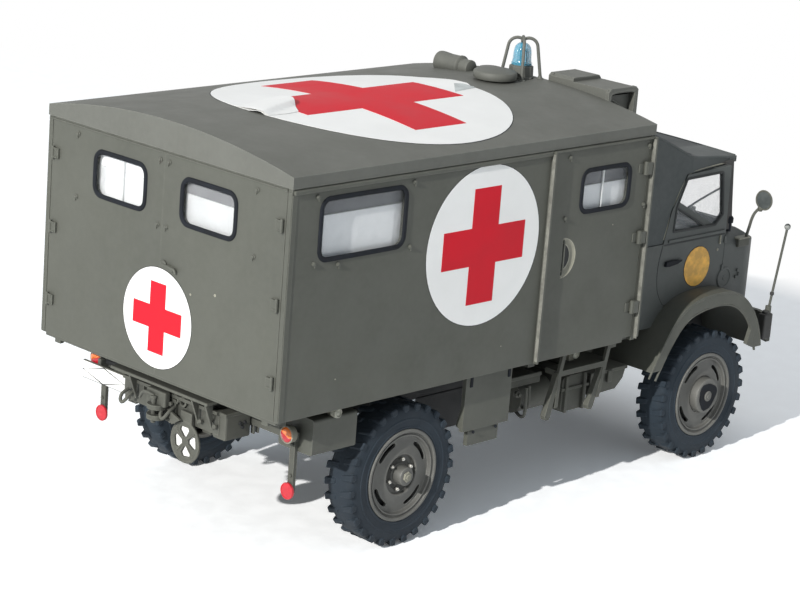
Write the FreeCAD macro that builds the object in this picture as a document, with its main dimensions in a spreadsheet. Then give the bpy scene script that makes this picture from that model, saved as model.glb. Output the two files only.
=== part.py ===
import FreeCAD, Part
import Sketcher
import math
import os
import re

# A built 1:35 display model of a four-wheel-drive ambulance truck, in millimetres of the model itself.
# X points forward, Y to the truck's left and Z up. The origin lies on the ground under its middle.
# Places along X are counted from the rear axle, the front axle or the front wall of the ambulance body.

doc = FreeCAD.newDocument("AmbulanceTruck")
sheet = doc.addObject("Spreadsheet::Sheet", "Dims")

# alias, value in millimetres (degrees where the alias ends in _angle)
drivingSizes = [
    ("wheelbase", 82.9),
    ("rear_overhang", 33.4),
    ("front_overhang", 23.3),
    ("tyre_radius", 12.7),
    ("tyre_width", 6.6),
    ("bead_height", 5.1),
    ("rim_lip", 0.5),
    ("rim_wall", 0.6),
    ("rim_depth", 0.35),
    ("bead_inset", 0.5),
    ("slot_width", 0.6),
    ("slot_inset", 1.7),
    ("slot_half_angle", 22),
    ("wheel_outer_y", 28.0),
    ("stub_radius", 1.0),
    ("stub_clearance", 0.05),
    ("stub_end_gap", 0.5),
    ("bore_depth", 3.7),
    ("portal_drop", 3.4),
    ("portal_radius", 2.6),
    ("portal_outer_y", 20.9),
    ("portal_width", 3.0),
    ("axle_tube_radius", 1.7),
    ("diff_radius", 4.0),
    ("box_width", 60.5),
    ("box_tail", 32.8),
    ("box_floor_z", 28.6),
    ("box_wall_top", 67.0),
    ("box_wall", 1.0),
    ("floor_thickness", 1.2),
    ("roof_rim", 1.9),
    ("roof_crown", 3.2),
    ("roof_lap", 0.15),
    ("panel_gap", 0.1),
    ("strip_reach", 0.9),
    ("strip_thickness", 0.4),
    ("window_bottom", 54.6),
    ("window_height", 10.0),
    ("window_length", 19.2),
    ("window_start", 6.6),
    ("window_radius", 1.7),
    ("door_length", 27.5),
    ("door_window_start", 19.0),
    ("door_window_length", 13.0),
    ("door_window_bottom", 54.8),
    ("door_window_height", 7.5),
    ("rear_window_inset", 4.6),
    ("rear_window_width", 13.0),
    ("rear_window_bottom", 55.8),
    ("rear_window_height", 7.6),
    ("pane_thickness", 0.4),
    ("rail_y", 9.6),
    ("rail_width", 2.0),
    ("rail_height", 3.6),
    ("rail_skin", 0.6),
    ("rail_top", 24.0),
    ("rail_tail", 29.0),
    ("rail_drop", 1.6),
    ("bearer_height", 2.0),
    ("bearer_inset", 3.0),
    ("spring_y", 12.9),
    ("spring_top", 25.2),
    ("cab_width", 48.6),
    ("cab_gap", 4.9),
    ("cab_rear", 21.5),
    ("cab_floor_z", 27.4),
    ("belt_z", 43.4),
    ("cab_wall", 0.9),
    ("door_rear", 12.5),
    ("door_front", 6.4),
    ("door_sill_z", 31.3),
    ("nose_front", 22.1),
    ("screen_base", 10.5),
    ("screen_angle", 8.0),
    ("screen_height", 13.8),
    ("screen_inset", 1.7),
    ("canvas_front_z", 57.8),
    ("canvas_knee", 6.0),
    ("canvas_knee_z", 59.5),
    ("canvas_rear_z", 65.6),
    ("canvas_crown", 0.6),
    ("canvas_front_inset", 1.7),
    ("fender_gap", 6.9),
    ("fender_outer_y", 29.0),
    ("fender_inner_y", 14.2),
    ("fender_lip", 2.3),
    ("fender_skin", 0.8),
    ("bumper_height", 5.4),
    ("bumper_z", 19.6),
    ("bumper_depth", 2.2),
    ("bumper_inset", 2.6),
]
names = [alias for alias, size in drivingSizes]
for row, (alias, size) in enumerate(drivingSizes, start=1):
    sheet.set(f"A{row}", alias)
    sheet.set(f"B{row}", str(size))
    sheet.setAlias(f"B{row}", alias)
doc.recompute()

vector = FreeCAD.Vector
aliasWord = re.compile(r"\b(" + "|".join(sorted(names, key=len, reverse=True)) + r")\b")
nodes = []
rearAxle = "((rear_overhang - wheelbase - front_overhang) / 2)"
frontAxle = f"({rearAxle} + wheelbase)"
boxRear = f"({rearAxle} - box_tail)"
boxFront = f"({frontAxle} - cab_rear - cab_gap)"
boxLength = f"({boxFront} - {boxRear})"


def expression(text):
    return aliasWord.sub(r"Dims.\1", str(text))


def number(text):
    """The millimetres that a text in the sheet's words comes to."""
    result = sheet.evalExpression(expression(text))
    return float(getattr(result, "Value", result))


def bind(item, path, text):
    item.setExpression(path, expression(text))


def node(label, item):
    """Names a finished sub-part."""
    item.Label = label
    nodes.append(item)
    return item


# ---- primitives whose sizes are bound to the sheet ----

def block(name, x, y, z, length, width, height):
    item = doc.addObject("Part::Box", name)
    pairs = zip(("Placement.Base.x", "Placement.Base.y", "Placement.Base.z", "Length", "Width", "Height"),
                (x, y, z, length, width, height))
    for path, text in pairs:
        bind(item, path, text)
    return item


turns = {"x": FreeCAD.Rotation(vector(0, 1, 0), 90), "y": FreeCAD.Rotation(vector(1, 0, 0), -90),
         "z": FreeCAD.Rotation()}


def rod(name, along, x, y, z, radius, length):
    item = doc.addObject("Part::Cylinder", name)
    item.Placement = FreeCAD.Placement(vector(0, 0, 0), turns[along])
    pairs = zip(("Placement.Base.x", "Placement.Base.y", "Placement.Base.z", "Radius", "Height"),
                (x, y, z, radius, length))
    for path, text in pairs:
        bind(item, path, text)
    return item


def fuse(name, items):
    item = doc.addObject("Part::MultiFuse", name)
    item.Shapes = items
    item.Refine = True
    return item


def group(name, items):
    item = doc.addObject("Part::Compound", name)
    item.Links = items
    return item


def cut(name, base, tool):
    item = doc.addObject("Part::Cut", name)
    item.Base = base
    item.Tool = tool
    return item


def mirror(name, source):
    item = doc.addObject("Part::Mirroring", name)
    item.Source = source
    item.Normal = vector(0, 1, 0)
    return item


def bothSides(label, source):
    return node(label, group(label + "_pair", [source, mirror(label + "_twin", source)]))


def feature(name, shape):
    item = doc.addObject("Part::Feature", name)
    item.Shape = shape
    return item


# ---- sketched bodies ----

def bodyPlane(body, role):
    return [item for item in body.Origin.OriginFeatures if item.Role == role][0]


def newSketch(body, name, role, offset="0"):
    sketch = body.newObject("Sketcher::SketchObject", name)
    sketch.AttachmentSupport = (bodyPlane(body, role), [""])
    sketch.MapMode = "FlatFace"
    bind(sketch, "AttachmentOffset.Base.z", offset)
    return sketch


def placePoint(sketch, geometry, end, across, up):
    """Ties one end of an edge to its distances from the sketch's own axes."""
    for kind, axis, text in (("DistanceX", -2, across), ("DistanceY", -1, up)):
        if text == "0":
            sketch.addConstraint(Sketcher.Constraint("PointOnObject", geometry, end, axis))
        else:
            index = sketch.addConstraint(Sketcher.Constraint(kind, -1, 1, geometry, end, number(text)))
            bind(sketch, f"Constraints[{index}]", text)


def drawOutline(sketch, points):
    """A closed outline of straight edges, each corner given as two texts."""
    corners = [vector(number(across), number(up), 0) for across, up in points]
    edges = []
    for start, end in zip(corners, corners[1:] + corners[:1]):
        edges.append(sketch.addGeometry(Part.LineSegment(start, end)))
    for edge, following in zip(edges, edges[1:] + edges[:1]):
        sketch.addConstraint(Sketcher.Constraint("Coincident", edge, 2, following, 1))
    for edge, (across, up) in zip(edges, points):
        placePoint(sketch, edge, 1, across, up)


def drawRounded(sketch, left, bottom, width, height, radius):
    """A rectangle with four equal round corners."""
    low = vector(number(left), number(bottom), 0)
    high = low + vector(number(width), number(height), 0)
    bend = number(radius)
    corners = [(high.x - bend, low.y + bend, 270), (high.x - bend, high.y - bend, 0),
               (low.x + bend, high.y - bend, 90), (low.x + bend, low.y + bend, 180)]
    arcs = []
    for x, y, start in corners:
        circle = Part.Circle(vector(x, y, 0), vector(0, 0, 1), bend)
        arc = Part.ArcOfCircle(circle, math.radians(start), math.radians(start + 90))
        arcs.append(sketch.addGeometry(arc))
    ends = [sketch.Geometry[arc] for arc in arcs]
    lines = []
    for first, second in zip(ends, ends[1:] + ends[:1]):
        lines.append(sketch.addGeometry(Part.LineSegment(first.EndPoint, second.StartPoint)))
    for arc, line, following in zip(arcs, lines, arcs[1:] + arcs[:1]):
        sketch.addConstraint(Sketcher.Constraint("Tangent", arc, 2, line, 1))
        sketch.addConstraint(Sketcher.Constraint("Tangent", line, 2, following, 1))
    for arc in arcs[1:]:
        sketch.addConstraint(Sketcher.Constraint("Equal", arcs[0], arc))
    sketch.addConstraint(Sketcher.Constraint("Vertical", lines[0]))
    sketch.addConstraint(Sketcher.Constraint("Horizontal", lines[1]))
    sketch.addConstraint(Sketcher.Constraint("Vertical", lines[2]))
    sketch.addConstraint(Sketcher.Constraint("Horizontal", lines[3]))
    rows = [("Radius", (arcs[0], bend), radius),
            ("DistanceX", (-1, 1, lines[0], 1, high.x), f"{left} + {width}"),
            ("DistanceY", (-1, 1, lines[1], 1, high.y), f"{bottom} + {height}"),
            ("DistanceX", (-1, 1, lines[2], 1, low.x), left),
            ("DistanceY", (-1, 1, lines[3], 1, low.y), bottom)]
    for kind, ends, text in rows:
        index = sketch.addConstraint(Sketcher.Constraint(kind, *ends))
        bind(sketch, f"Constraints[{index}]", text)


def drawCurvedSlot(sketch, radius, width, halfAngle):
    """A round-ended slot that follows a circle about the sketch's origin, centred on its X axis."""
    middle = number(radius)
    half = number(width) / 2
    turn = math.radians(number(halfAngle))
    up = vector(0, 0, 1)
    arcs = []
    for size in (middle + half, middle - half):
        arcs.append(sketch.addGeometry(Part.ArcOfCircle(Part.Circle(vector(0, 0, 0), up, size), -turn, turn)))
    for side in (1, -1):
        centre = vector(middle * math.cos(turn), side * middle * math.sin(turn), 0)
        start = turn if side > 0 else math.pi - turn
        arcs.append(sketch.addGeometry(Part.ArcOfCircle(Part.Circle(centre, up, half), start, start + math.pi)))
    outer, inner, top, bottom = arcs
    for arc in (outer, inner):
        sketch.addConstraint(Sketcher.Constraint("Coincident", arc, 3, -1, 1))
    for first, firstEnd, second, secondEnd in ((outer, 2, top, 1), (top, 2, inner, 2), (inner, 1, bottom, 1),
                                               (bottom, 2, outer, 1)):
        sketch.addConstraint(Sketcher.Constraint("Tangent", first, firstEnd, second, secondEnd))
    rows = [("Radius", (outer, middle + half), f"{radius} + {width} / 2"),
            ("Radius", (inner, middle - half), f"{radius} - {width} / 2"),
            ("DistanceY", (-1, 1, top, 3, middle * math.sin(turn)), f"{radius} * sin({halfAngle} * 1 deg)"),
            ("DistanceY", (-1, 1, bottom, 3, -middle * math.sin(turn)), f"-{radius} * sin({halfAngle} * 1 deg)")]
    for kind, ends, text in rows:
        index = sketch.addConstraint(Sketcher.Constraint(kind, *ends))
        bind(sketch, f"Constraints[{index}]", text)


def pad(body, sketch, length, name):
    item = body.newObject("PartDesign::Pad", name)
    item.Profile = sketch
    bind(item, "Length", length)
    sketch.Visibility = False
    return item


def revolve(body, sketch, name, axis="V_Axis"):
    item = body.newObject("PartDesign::Revolution", name)
    item.Profile = sketch
    item.ReferenceAxis = (sketch, [axis])
    item.Angle = 360
    return item


def panel(name, role, offset, outline, holes, thickness):
    """A flat panel: its outline, its round-cornered holes and how thick it is."""
    body = doc.addObject("PartDesign::Body", name)
    sketch = newSketch(body, name + "Outline", role, offset)
    drawOutline(sketch, outline)
    for hole in holes:
        drawRounded(sketch, *hole)
    pad(body, sketch, thickness, name + "Pad")
    return body


def rectangle(left, bottom, right, top):
    return [(left, bottom), (right, bottom), (right, top), (left, top)]


# ---- shapes for the sub-parts that no primitive or sketch fits ----

def wire(points):
    return Part.makePolygon([vector(*point) for point in points + points[:1]])


def prismY(points, start, end):
    """A solid whose outline in X and Z runs from one Y to another."""
    face = Part.Face(wire([(x, start, z) for x, z in points]))
    return face.extrude(vector(0, end - start, 0))


def flipped(shape):
    """The same shape on the truck's other side."""
    return shape.mirror(vector(0, 0, 0), vector(0, 1, 0))


def prismZ(points, start, end):
    face = Part.Face(wire([(x, y, start) for x, y in points]))
    return face.extrude(vector(0, 0, end - start))


def tube(points, radius):
    """Round rod along straight runs, with a ball at each joint."""
    ends = [vector(*point) for point in points]
    pieces = []
    for start, end in zip(ends, ends[1:]):
        run = end - start
        pieces.append(Part.makeCylinder(radius, run.Length, start, run))
    for joint in ends[1:-1]:
        pieces.append(Part.makeSphere(radius, joint))
    return pieces[0].multiFuse(pieces[1:]).removeSplitter() if len(pieces) > 1 else pieces[0]


rearX = number(rearAxle)
frontX = number(frontAxle)
boxFrontX = number(boxFront)
doorPlane = number("cab_width / 2")
bodySide = number("box_width / 2")


def cuboid(origin, x0, x1, y0, y1, z0, z1):
    """A block whose places along X are counted from one of the three origins above."""
    return Part.makeBox(x1 - x0, y1 - y0, z1 - z0, vector(origin + x0, y0, z0))


# ---- wheels ----

wheelMiddle = "(wheel_outer_y - tyre_width / 2)"
beadRadius = "(tyre_radius - bead_height)"
rimRadius = "(tyre_radius - bead_height + rim_lip)"
rimEdge = "(tyre_width / 2 - bead_inset)"
discFace = f"({rimEdge} - rim_depth)"
boreStart = f"({discFace} - 2.4)"
# the stub ends short of the bottom of the wheel's blind bore
stubReach = f"({wheelMiddle} + {boreStart} + bore_depth - stub_end_gap - portal_outer_y)"


def makeTyre(label, axle, side):
    body = doc.addObject("PartDesign::Body", label + "Body")
    sketch = newSketch(body, label + "Section", "XY_Plane")
    shoulder = "tyre_width / 2"
    drawOutline(sketch, [
        (beadRadius, f"-{shoulder} + bead_inset"), (f"{rimRadius} + 0.1", f"-{shoulder} + bead_inset"),
        ("tyre_radius - 3.2", f"-{shoulder} + 0.2"),
        ("tyre_radius - 1.2", f"-{shoulder}"), ("tyre_radius", f"-{shoulder} + 0.9"),
        ("tyre_radius", f"{shoulder} - 0.9"), ("tyre_radius - 1.2", f"{shoulder}"),
        ("tyre_radius - 3.2", f"{shoulder} - 0.2"), (f"{rimRadius} + 0.1", f"{shoulder} - bead_inset"),
        (beadRadius, f"{shoulder} - bead_inset")])
    revolve(body, sketch, label + "Round")
    bind(body, "Placement.Base.x", axle)
    bind(body, "Placement.Base.y", f"{side} * {wheelMiddle}")
    bind(body, "Placement.Base.z", "tyre_radius")
    return node(label, body)


def makeRim(label, axle, side, hubRadius, hubReach):
    """Disc wheel with four curved slots; the sketch's Y points out of the truck on both sides."""
    body = doc.addObject("PartDesign::Body", label + "Body")
    sketch = newSketch(body, label + "Section", "XY_Plane")
    edge, disc = rimEdge, discFace
    bore = "stub_radius + stub_clearance"
    drawOutline(sketch, [
        (bore, boreStart), (f"{hubRadius} + 1.4", boreStart), (f"{hubRadius} + 1.8", f"{disc} - rim_wall"),
        (f"{beadRadius} - rim_wall", f"{disc} - rim_wall"), (f"{beadRadius} - rim_wall", f"-{edge}"),
        (beadRadius, f"-{edge}"), (beadRadius, edge), (rimRadius, edge), (rimRadius, f"{edge} + 0.5"),
        (f"{rimRadius} - 0.5", f"{edge} + 0.5"), (f"{beadRadius} - 0.2", f"{edge} + 0.2"),
        (f"{beadRadius} - rim_wall", f"{edge} + 0.2"), (f"{beadRadius} - rim_wall - 0.4", disc),
        (f"{hubRadius} + 0.6", disc),
        (hubRadius, f"{disc} + 0.3"), (hubRadius, f"{disc} + {hubReach}"), ("0", f"{disc} + {hubReach}"),
        ("0", f"{boreStart} + bore_depth"), (bore, f"{boreStart} + bore_depth")])
    revolve(body, sketch, label + "Round")
    slot = newSketch(body, label + "Slot", "XZ_Plane", "-tyre_width / 2")
    drawCurvedSlot(slot, f"({beadRadius} - slot_inset)", "slot_width", "slot_half_angle")
    pocket = body.newObject("PartDesign::Pocket", label + "Pocket")
    pocket.Profile = slot
    pocket.Type = "ThroughAll"
    pocket.Midplane = True
    pattern = body.newObject("PartDesign::PolarPattern", label + "Pattern")
    pattern.Originals = [pocket]
    pattern.Axis = (bodyPlane(body, "Y_Axis"), [""])
    pattern.Angle = 360
    pattern.Occurrences = 4
    body.Tip = pattern
    if side < 0:
        body.Placement = FreeCAD.Placement(vector(0, 0, 0), FreeCAD.Rotation(vector(0, 0, 1), 180))
    bind(body, "Placement.Base.x", axle)
    bind(body, "Placement.Base.y", f"{side} * {wheelMiddle}")
    bind(body, "Placement.Base.z", "tyre_radius")
    return node(label, body)


# name, axle, side, hub radius, how far the hub stands out of the disc
wheelRows = [
    ("front_left", frontAxle, 1, "3.4", "1.9"),
    ("front_right", frontAxle, -1, "3.4", "1.9"),
    ("rear_left", rearAxle, 1, "1.7", "1.85"),
    ("rear_right", rearAxle, -1, "1.7", "1.85"),
]
for name, axle, side, hubRadius, hubReach in wheelRows:
    makeTyre(name + "_tyre", axle, side)
    makeRim(name + "_rim", axle, side, hubRadius, hubReach)


# ---- chassis ----

def makeAxle(label, axle):
    """Portal axle: a raised tube, a round differential case and a drop case at each wheel."""
    height = "tyre_radius + portal_drop"
    inner = "portal_outer_y - portal_width"
    pieces = [rod(label + "Tube", "y", axle, f"-({inner})", height, "axle_tube_radius", f"2 * ({inner})")]
    ball = doc.addObject("Part::Sphere", label + "Diff")
    bind(ball, "Radius", "diff_radius")
    bind(ball, "Placement.Base.x", axle)
    bind(ball, "Placement.Base.z", height)
    pieces.append(ball)
    for side, start in ((1, inner), (-1, "-portal_outer_y")):
        tag = label + ("Left" if side > 0 else "Right")
        pieces.append(rod(tag + "Top", "y", axle, start, height, "portal_radius", "portal_width"))
        pieces.append(rod(tag + "Low", "y", axle, start, "tyre_radius", "portal_radius", "portal_width"))
        pieces.append(block(tag + "Case", f"{axle} - portal_radius", start, "tyre_radius",
                            "2 * portal_radius", "portal_width", "portal_drop"))
        stub = "portal_outer_y" if side > 0 else f"-(portal_outer_y + {stubReach})"
        pieces.append(rod(tag + "Stub", "y", axle, stub, "tyre_radius", "stub_radius", stubReach))
    return node(label, fuse(label + "All", pieces))


makeAxle("front_axle", frontAxle)
makeAxle("rear_axle", rearAxle)


def makeFrame():
    """Two channel rails that dip between the axles, with cross members, cab mounts and spring towers."""
    top = number("rail_top")
    depth = number("rail_height")
    drop = number("rail_drop")
    skin = number("rail_skin")
    tailX = rearX - number("rail_tail")
    # place along the rail and height of its top edge above the axle-end height
    stations = [(tailX, 0), (rearX + 15, 0), (rearX + 22, -drop), (frontX - 18.9, -drop), (frontX - 10.9, 0),
                (frontX + 18.1, 0)]
    upper = [(x, top + z) for x, z in stations]
    lower = [(x, z - depth) for x, z in reversed(upper)]
    inner = number("rail_y - rail_width / 2")
    outer = number("rail_y + rail_width / 2")
    hollow = [(x, z - skin) for x, z in upper] + [(x, z + skin) for x, z in lower]
    left = prismY(upper + lower, inner, outer).cut(prismY(hollow, inner - 1, outer - skin))
    rails = [left, flipped(left)]
    web = outer - skin
    # origin, start and end along X, underside, height
    members = [(rearX, -7.5, -6.0, top - depth + 0.4, depth - 0.8),
               (rearX, 22.5, 24.0, top - drop - depth + 0.4, depth - 0.8),
               (frontX, -25.9, -24.3, top - drop - depth, skin),
               (frontX, 15.6, 17.1, top - depth + 0.4, depth - 0.8)]
    for origin, start, end, low, height in members:
        rails.append(cuboid(origin, start, end, -web, web, low, low + height))
    # cab mounts stand on the rails up to the cab floor
    for start in (-9.9, 4.5):
        for low in (inner, -outer):
            rails.append(cuboid(frontX, start, start + 2.0, low, low + outer - inner, top - skin,
                                number("cab_floor_z")))
    # spring towers: a cap outboard of the rail over each spring
    cap = number("spring_top")
    for centre in (rearX, frontX):
        for side in (1, -1):
            near, far = sorted((side * outer, side * (number("spring_y") + 1.9)))
            rails.append(cuboid(centre, -1.9, 1.9, near, far, cap, cap + 0.8))
            near, far = sorted((side * outer, side * (outer + 0.5)))
            rails.append(cuboid(centre, -1.9, 1.9, near, far, top - 2.0, cap + 0.8))
    # rear cross member: an upright plate with a top flange and four round holes, longer on the right
    plate = cuboid(tailX, -0.8, 0.0, -13.4, outer, top - 2.8, top + 1.4)
    flange = cuboid(tailX, -1.5, -0.8, -13.4, outer, top + 0.9, top + 1.4)
    holes = [Part.makeCylinder(0.5, 3, vector(tailX - 2, y, z), vector(1, 0, 0))
             for y, z in ((4.6, top - 0.1), (-2.9, top + 0.1), (-4.8, top + 0.1), (-11.6, top - 0.4))]
    rails.append(plate.fuse(flange).cut(Part.makeCompound(holes)))
    return node("chassis_frame", feature("chassisFrame", rails[0].multiFuse(rails[1:]).removeSplitter()))


makeFrame()


def makeSprings():
    """Four springs between the axle tubes and the towers, each turned with one ridge for every coil."""
    core, coil, turnCount = 1.0, 1.6, 6
    seat = number("tyre_radius + portal_drop")
    low = seat + number("axle_tube_radius")
    high = number("spring_top")
    pitch = (high - low) / turnCount
    springs = []
    for centre in (rearX, frontX):
        for side in (1, -1):
            y = side * number("spring_y")
            outline = [(0, seat), (core, seat), (core, low)]
            for step in range(turnCount):
                outline += [(coil, low + (step + 0.35) * pitch), (coil, low + (step + 0.65) * pitch),
                            (core, low + (step + 1) * pitch)]
            outline.append((0, high))
            face = Part.Face(wire([(centre + out, y, z) for out, z in outline]))
            spring = face.revolve(vector(centre, y, 0), vector(0, 0, 1), 360)
            start = vector(centre, y - 3, seat)
            axleTube = Part.makeCylinder(number("axle_tube_radius"), 6, start, vector(0, 1, 0))
            springs.append(spring.cut(axleTube))
    return node("coil_springs", feature("coilSprings", Part.makeCompound(springs)))


makeSprings()


def makeDrivetrain():
    """The engine as one plain block, then the gearbox and the torque tubes to both axles."""
    bed = "rail_top - 0.4"
    node("engine_block", block("engine", f"{frontAxle} + 7.9", "-6.0", bed, "11.2", "12", "11.4"))
    height = "tyre_radius + portal_drop"
    rest = "rail_top - rail_drop - rail_height + 1.0"
    gearboxRear = f"{frontAxle} - 36.9"
    pieces = [block("gearbox", gearboxRear, "-4.2", rest, "20", "8.4", "6.4")]
    for name, start in (("Rear", 0), ("Front", 15)):
        pieces.append(block("transfer" + name, f"{gearboxRear} + {start}", "-3.0", f"{height} - 1.8",
                            "5", "6.0", f"{rest} - ({height}) + 2.4"))
    reach = "diff_radius * 0.92"
    pieces.append(rod("rearTorqueTube", "x", f"{rearAxle} + {reach}", "0", height, "1.5",
                      f"wheelbase - 36.7 - {reach}"))
    pieces.append(rod("frontTorqueTube", "x", f"{gearboxRear} + 19.8", "0", height, "1.5", f"17.1 - {reach}"))
    joined = fuse("transmissionAll", pieces)
    ends = [doc.addObject("Part::Sphere", "tubeEnd" + name) for name in ("Rear", "Front")]
    for ball, axle in zip(ends, (rearAxle, frontAxle)):
        bind(ball, "Radius", "diff_radius")
        bind(ball, "Placement.Base.x", axle)
        bind(ball, "Placement.Base.z", height)
    node("transmission", cut("transmissionCut", joined, group("tubeEnds", ends)))


makeDrivetrain()


def makeTanks():
    """Fuel tank, locker, battery tray and air tank along the right side, and the silencer on the left."""
    railSide = -number("rail_y + rail_width / 2")
    skirt = -bodySide + 6.2
    tank = cuboid(frontX, -38.0, -31.1, skirt, -13.4, 14.8, 21.6)
    corners = [edge for edge in tank.Edges if abs(edge.Vertexes[0].Y - edge.Vertexes[-1].Y) > 1]
    tank = tank.makeFillet(1.0, corners)
    seam = cuboid(frontX, -38.3, -30.8, skirt - 0.3, -13.4, 18.9, 19.4)
    saddle = cuboid(frontX, -37.0, -32.0, -13.6, railSide, 18.9, 21.9)
    node("fuel_tank", feature("fuelTank", tank.multiFuse([seam, saddle])))
    # tool locker ahead of the tank, its lower edge chamfered, on a bracket under the cab
    outline = [(frontX - 30.0, 16.6), (frontX - 22.6, 16.8), (frontX - 20.6, 18.6), (frontX - 20.0, 20.4),
               (frontX - 30.0, 20.4)]
    locker = prismY(outline, skirt, -13.4)
    lid = cuboid(frontX, -30.3, -19.8, skirt - 0.3, -13.4, 20.4, 21.0)
    bracket = cuboid(frontX, -28.0, -24.0, -13.6, railSide, 18.9, 20.8)
    node("tool_locker", feature("toolLocker", locker.multiFuse([lid, bracket]).removeSplitter()))
    # round air tank on two saddles under the battery tray
    radius = 2.9
    drum = Part.makeCylinder(radius, 8.6, vector(frontX - 48.4, -20.4, 18.6), vector(1, 0, 0))
    saddles = [cuboid(frontX, x, x + 0.8, -20.4, railSide, 18.9, 21.9) for x in (-47.2, -42.0)]
    tray = cuboid(frontX, -52.6, -44.6, skirt, -17.0, 21.9, 23.3)
    arm = cuboid(frontX, -47.2, -46.4, -17.2, railSide, 20.4, 22.4)
    node("air_tank", feature("airTank", drum.multiFuse(saddles + [tray, arm])))
    silencer = Part.makeCylinder(2.6, 15.0, vector(frontX - 42.9, 15.6, 19.6), vector(1, 0, 0))
    tail = tube([(frontX - 42.7, 15.6, 19.6), (frontX - 48.9, 15.6, 19.6), (frontX - 52.4, 27.5, 20.4)], 0.9)
    down = tube([(frontX - 28.1, 15.6, 19.6), (frontX - 22.9, 14.2, 17.6), (frontX - 13.9, 5.6, 17.6),
                 (frontX - 6.9, 5.6, 20.4), (frontX + 12.1, 5.2, 20.4),
                 (frontX + 12.1, 5.2, number("rail_top") - 0.4)], 0.8)
    hangers = [cuboid(frontX, x, x + 0.8, -railSide, 15.6, 19.0, 22.2) for x in (-39.9, -31.9)]
    node("exhaust", feature("exhaustPipe", silencer.multiFuse([tail, down] + hangers).removeSplitter()))


makeTanks()


def makeUnderbodyBoxes():
    """Lockers behind the rear wheels and aprons ahead of them, one of each on both sides."""
    tyre = number("tyre_radius")
    side = bodySide - 2.25
    locker = cuboid(rearX, -tyre - 9.7, -tyre + 0.3, -side, -side + 8.0, 20.4, 26.6)
    lengthwise = [edge for edge in locker.Edges if abs(edge.Vertexes[0].Z - edge.Vertexes[-1].Z) < 0.01
                  and abs(edge.Vertexes[0].X - edge.Vertexes[-1].X) > 1]
    bothSides("rear_lockers", feature("rearLocker", locker.makeFillet(0.5, lengthwise)))
    start = tyre + 0.9
    floor = number("box_floor_z")
    plate = cuboid(rearX, start, start + 11.8, -side - 0.4, -side + 0.4, 18.0, floor)
    # a gusset turned in along the plate's rear edge, wide at the bottom
    gusset = Part.Face(wire([(rearX + start, -side, 18.2), (rearX + start, -side + 1.2, 18.8),
                             (rearX + start, -side + 1.0, 20.0), (rearX + start, -side, 23.6)]))
    flap = cuboid(rearX, start + 1.8, start + 9.6, -side - 0.1, -side + 0.8, 15.1, 18.4)
    brace = cuboid(rearX, 19.2, 20.8, -side, -side + 4.0, floor - 2.0, floor)
    pieces = [gusset.extrude(vector(0.6, 0, 0)), flap, brace]
    bothSides("side_aprons", feature("sideApron", plate.multiFuse(pieces).removeSplitter()))


makeUnderbodyBoxes()


def makeSideStep():
    """Folding footstep below the side door: two straps, a rung between them and two slanted legs."""
    y = -bodySide + 2.75
    floor = number("box_floor_z")
    pieces = []
    # top, knee and foot of each strap and the end of its straight part, from the body's front wall
    for top, knee, foot, straight in ((-16.4, -17.6, -20.2, -17.8), (-3.9, -4.9, -8.3, -6.2)):
        x0, x1, x2, x3 = (boxFrontX + place for place in (top, knee, foot, straight))
        strap = [(x0, floor), (x0 + 0.9, floor), (x1 + 0.9, 24.0), (x3 + 0.8, 17.8), (x3, 17.8), (x1, 24.0)]
        leg = [(x1 - 0.1, 24.2), (x1 + 0.7, 24.2), (x2 + 1.5, 16.2), (x2 + 1.1, 15.7), (x2 + 0.3, 15.8),
               (x2, 16.6)]
        pieces += [prismY(strap, y - 0.3, y + 0.3), prismY(leg, y - 0.2, y + 0.9)]
    pieces.append(cuboid(boxFrontX, -17.4, -4.2, y - 0.3, y + 3.0, 23.6, 24.6))
    return node("side_step", feature("sideStep", pieces[0].multiFuse(pieces[1:]).removeSplitter()))


makeSideStep()


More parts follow.
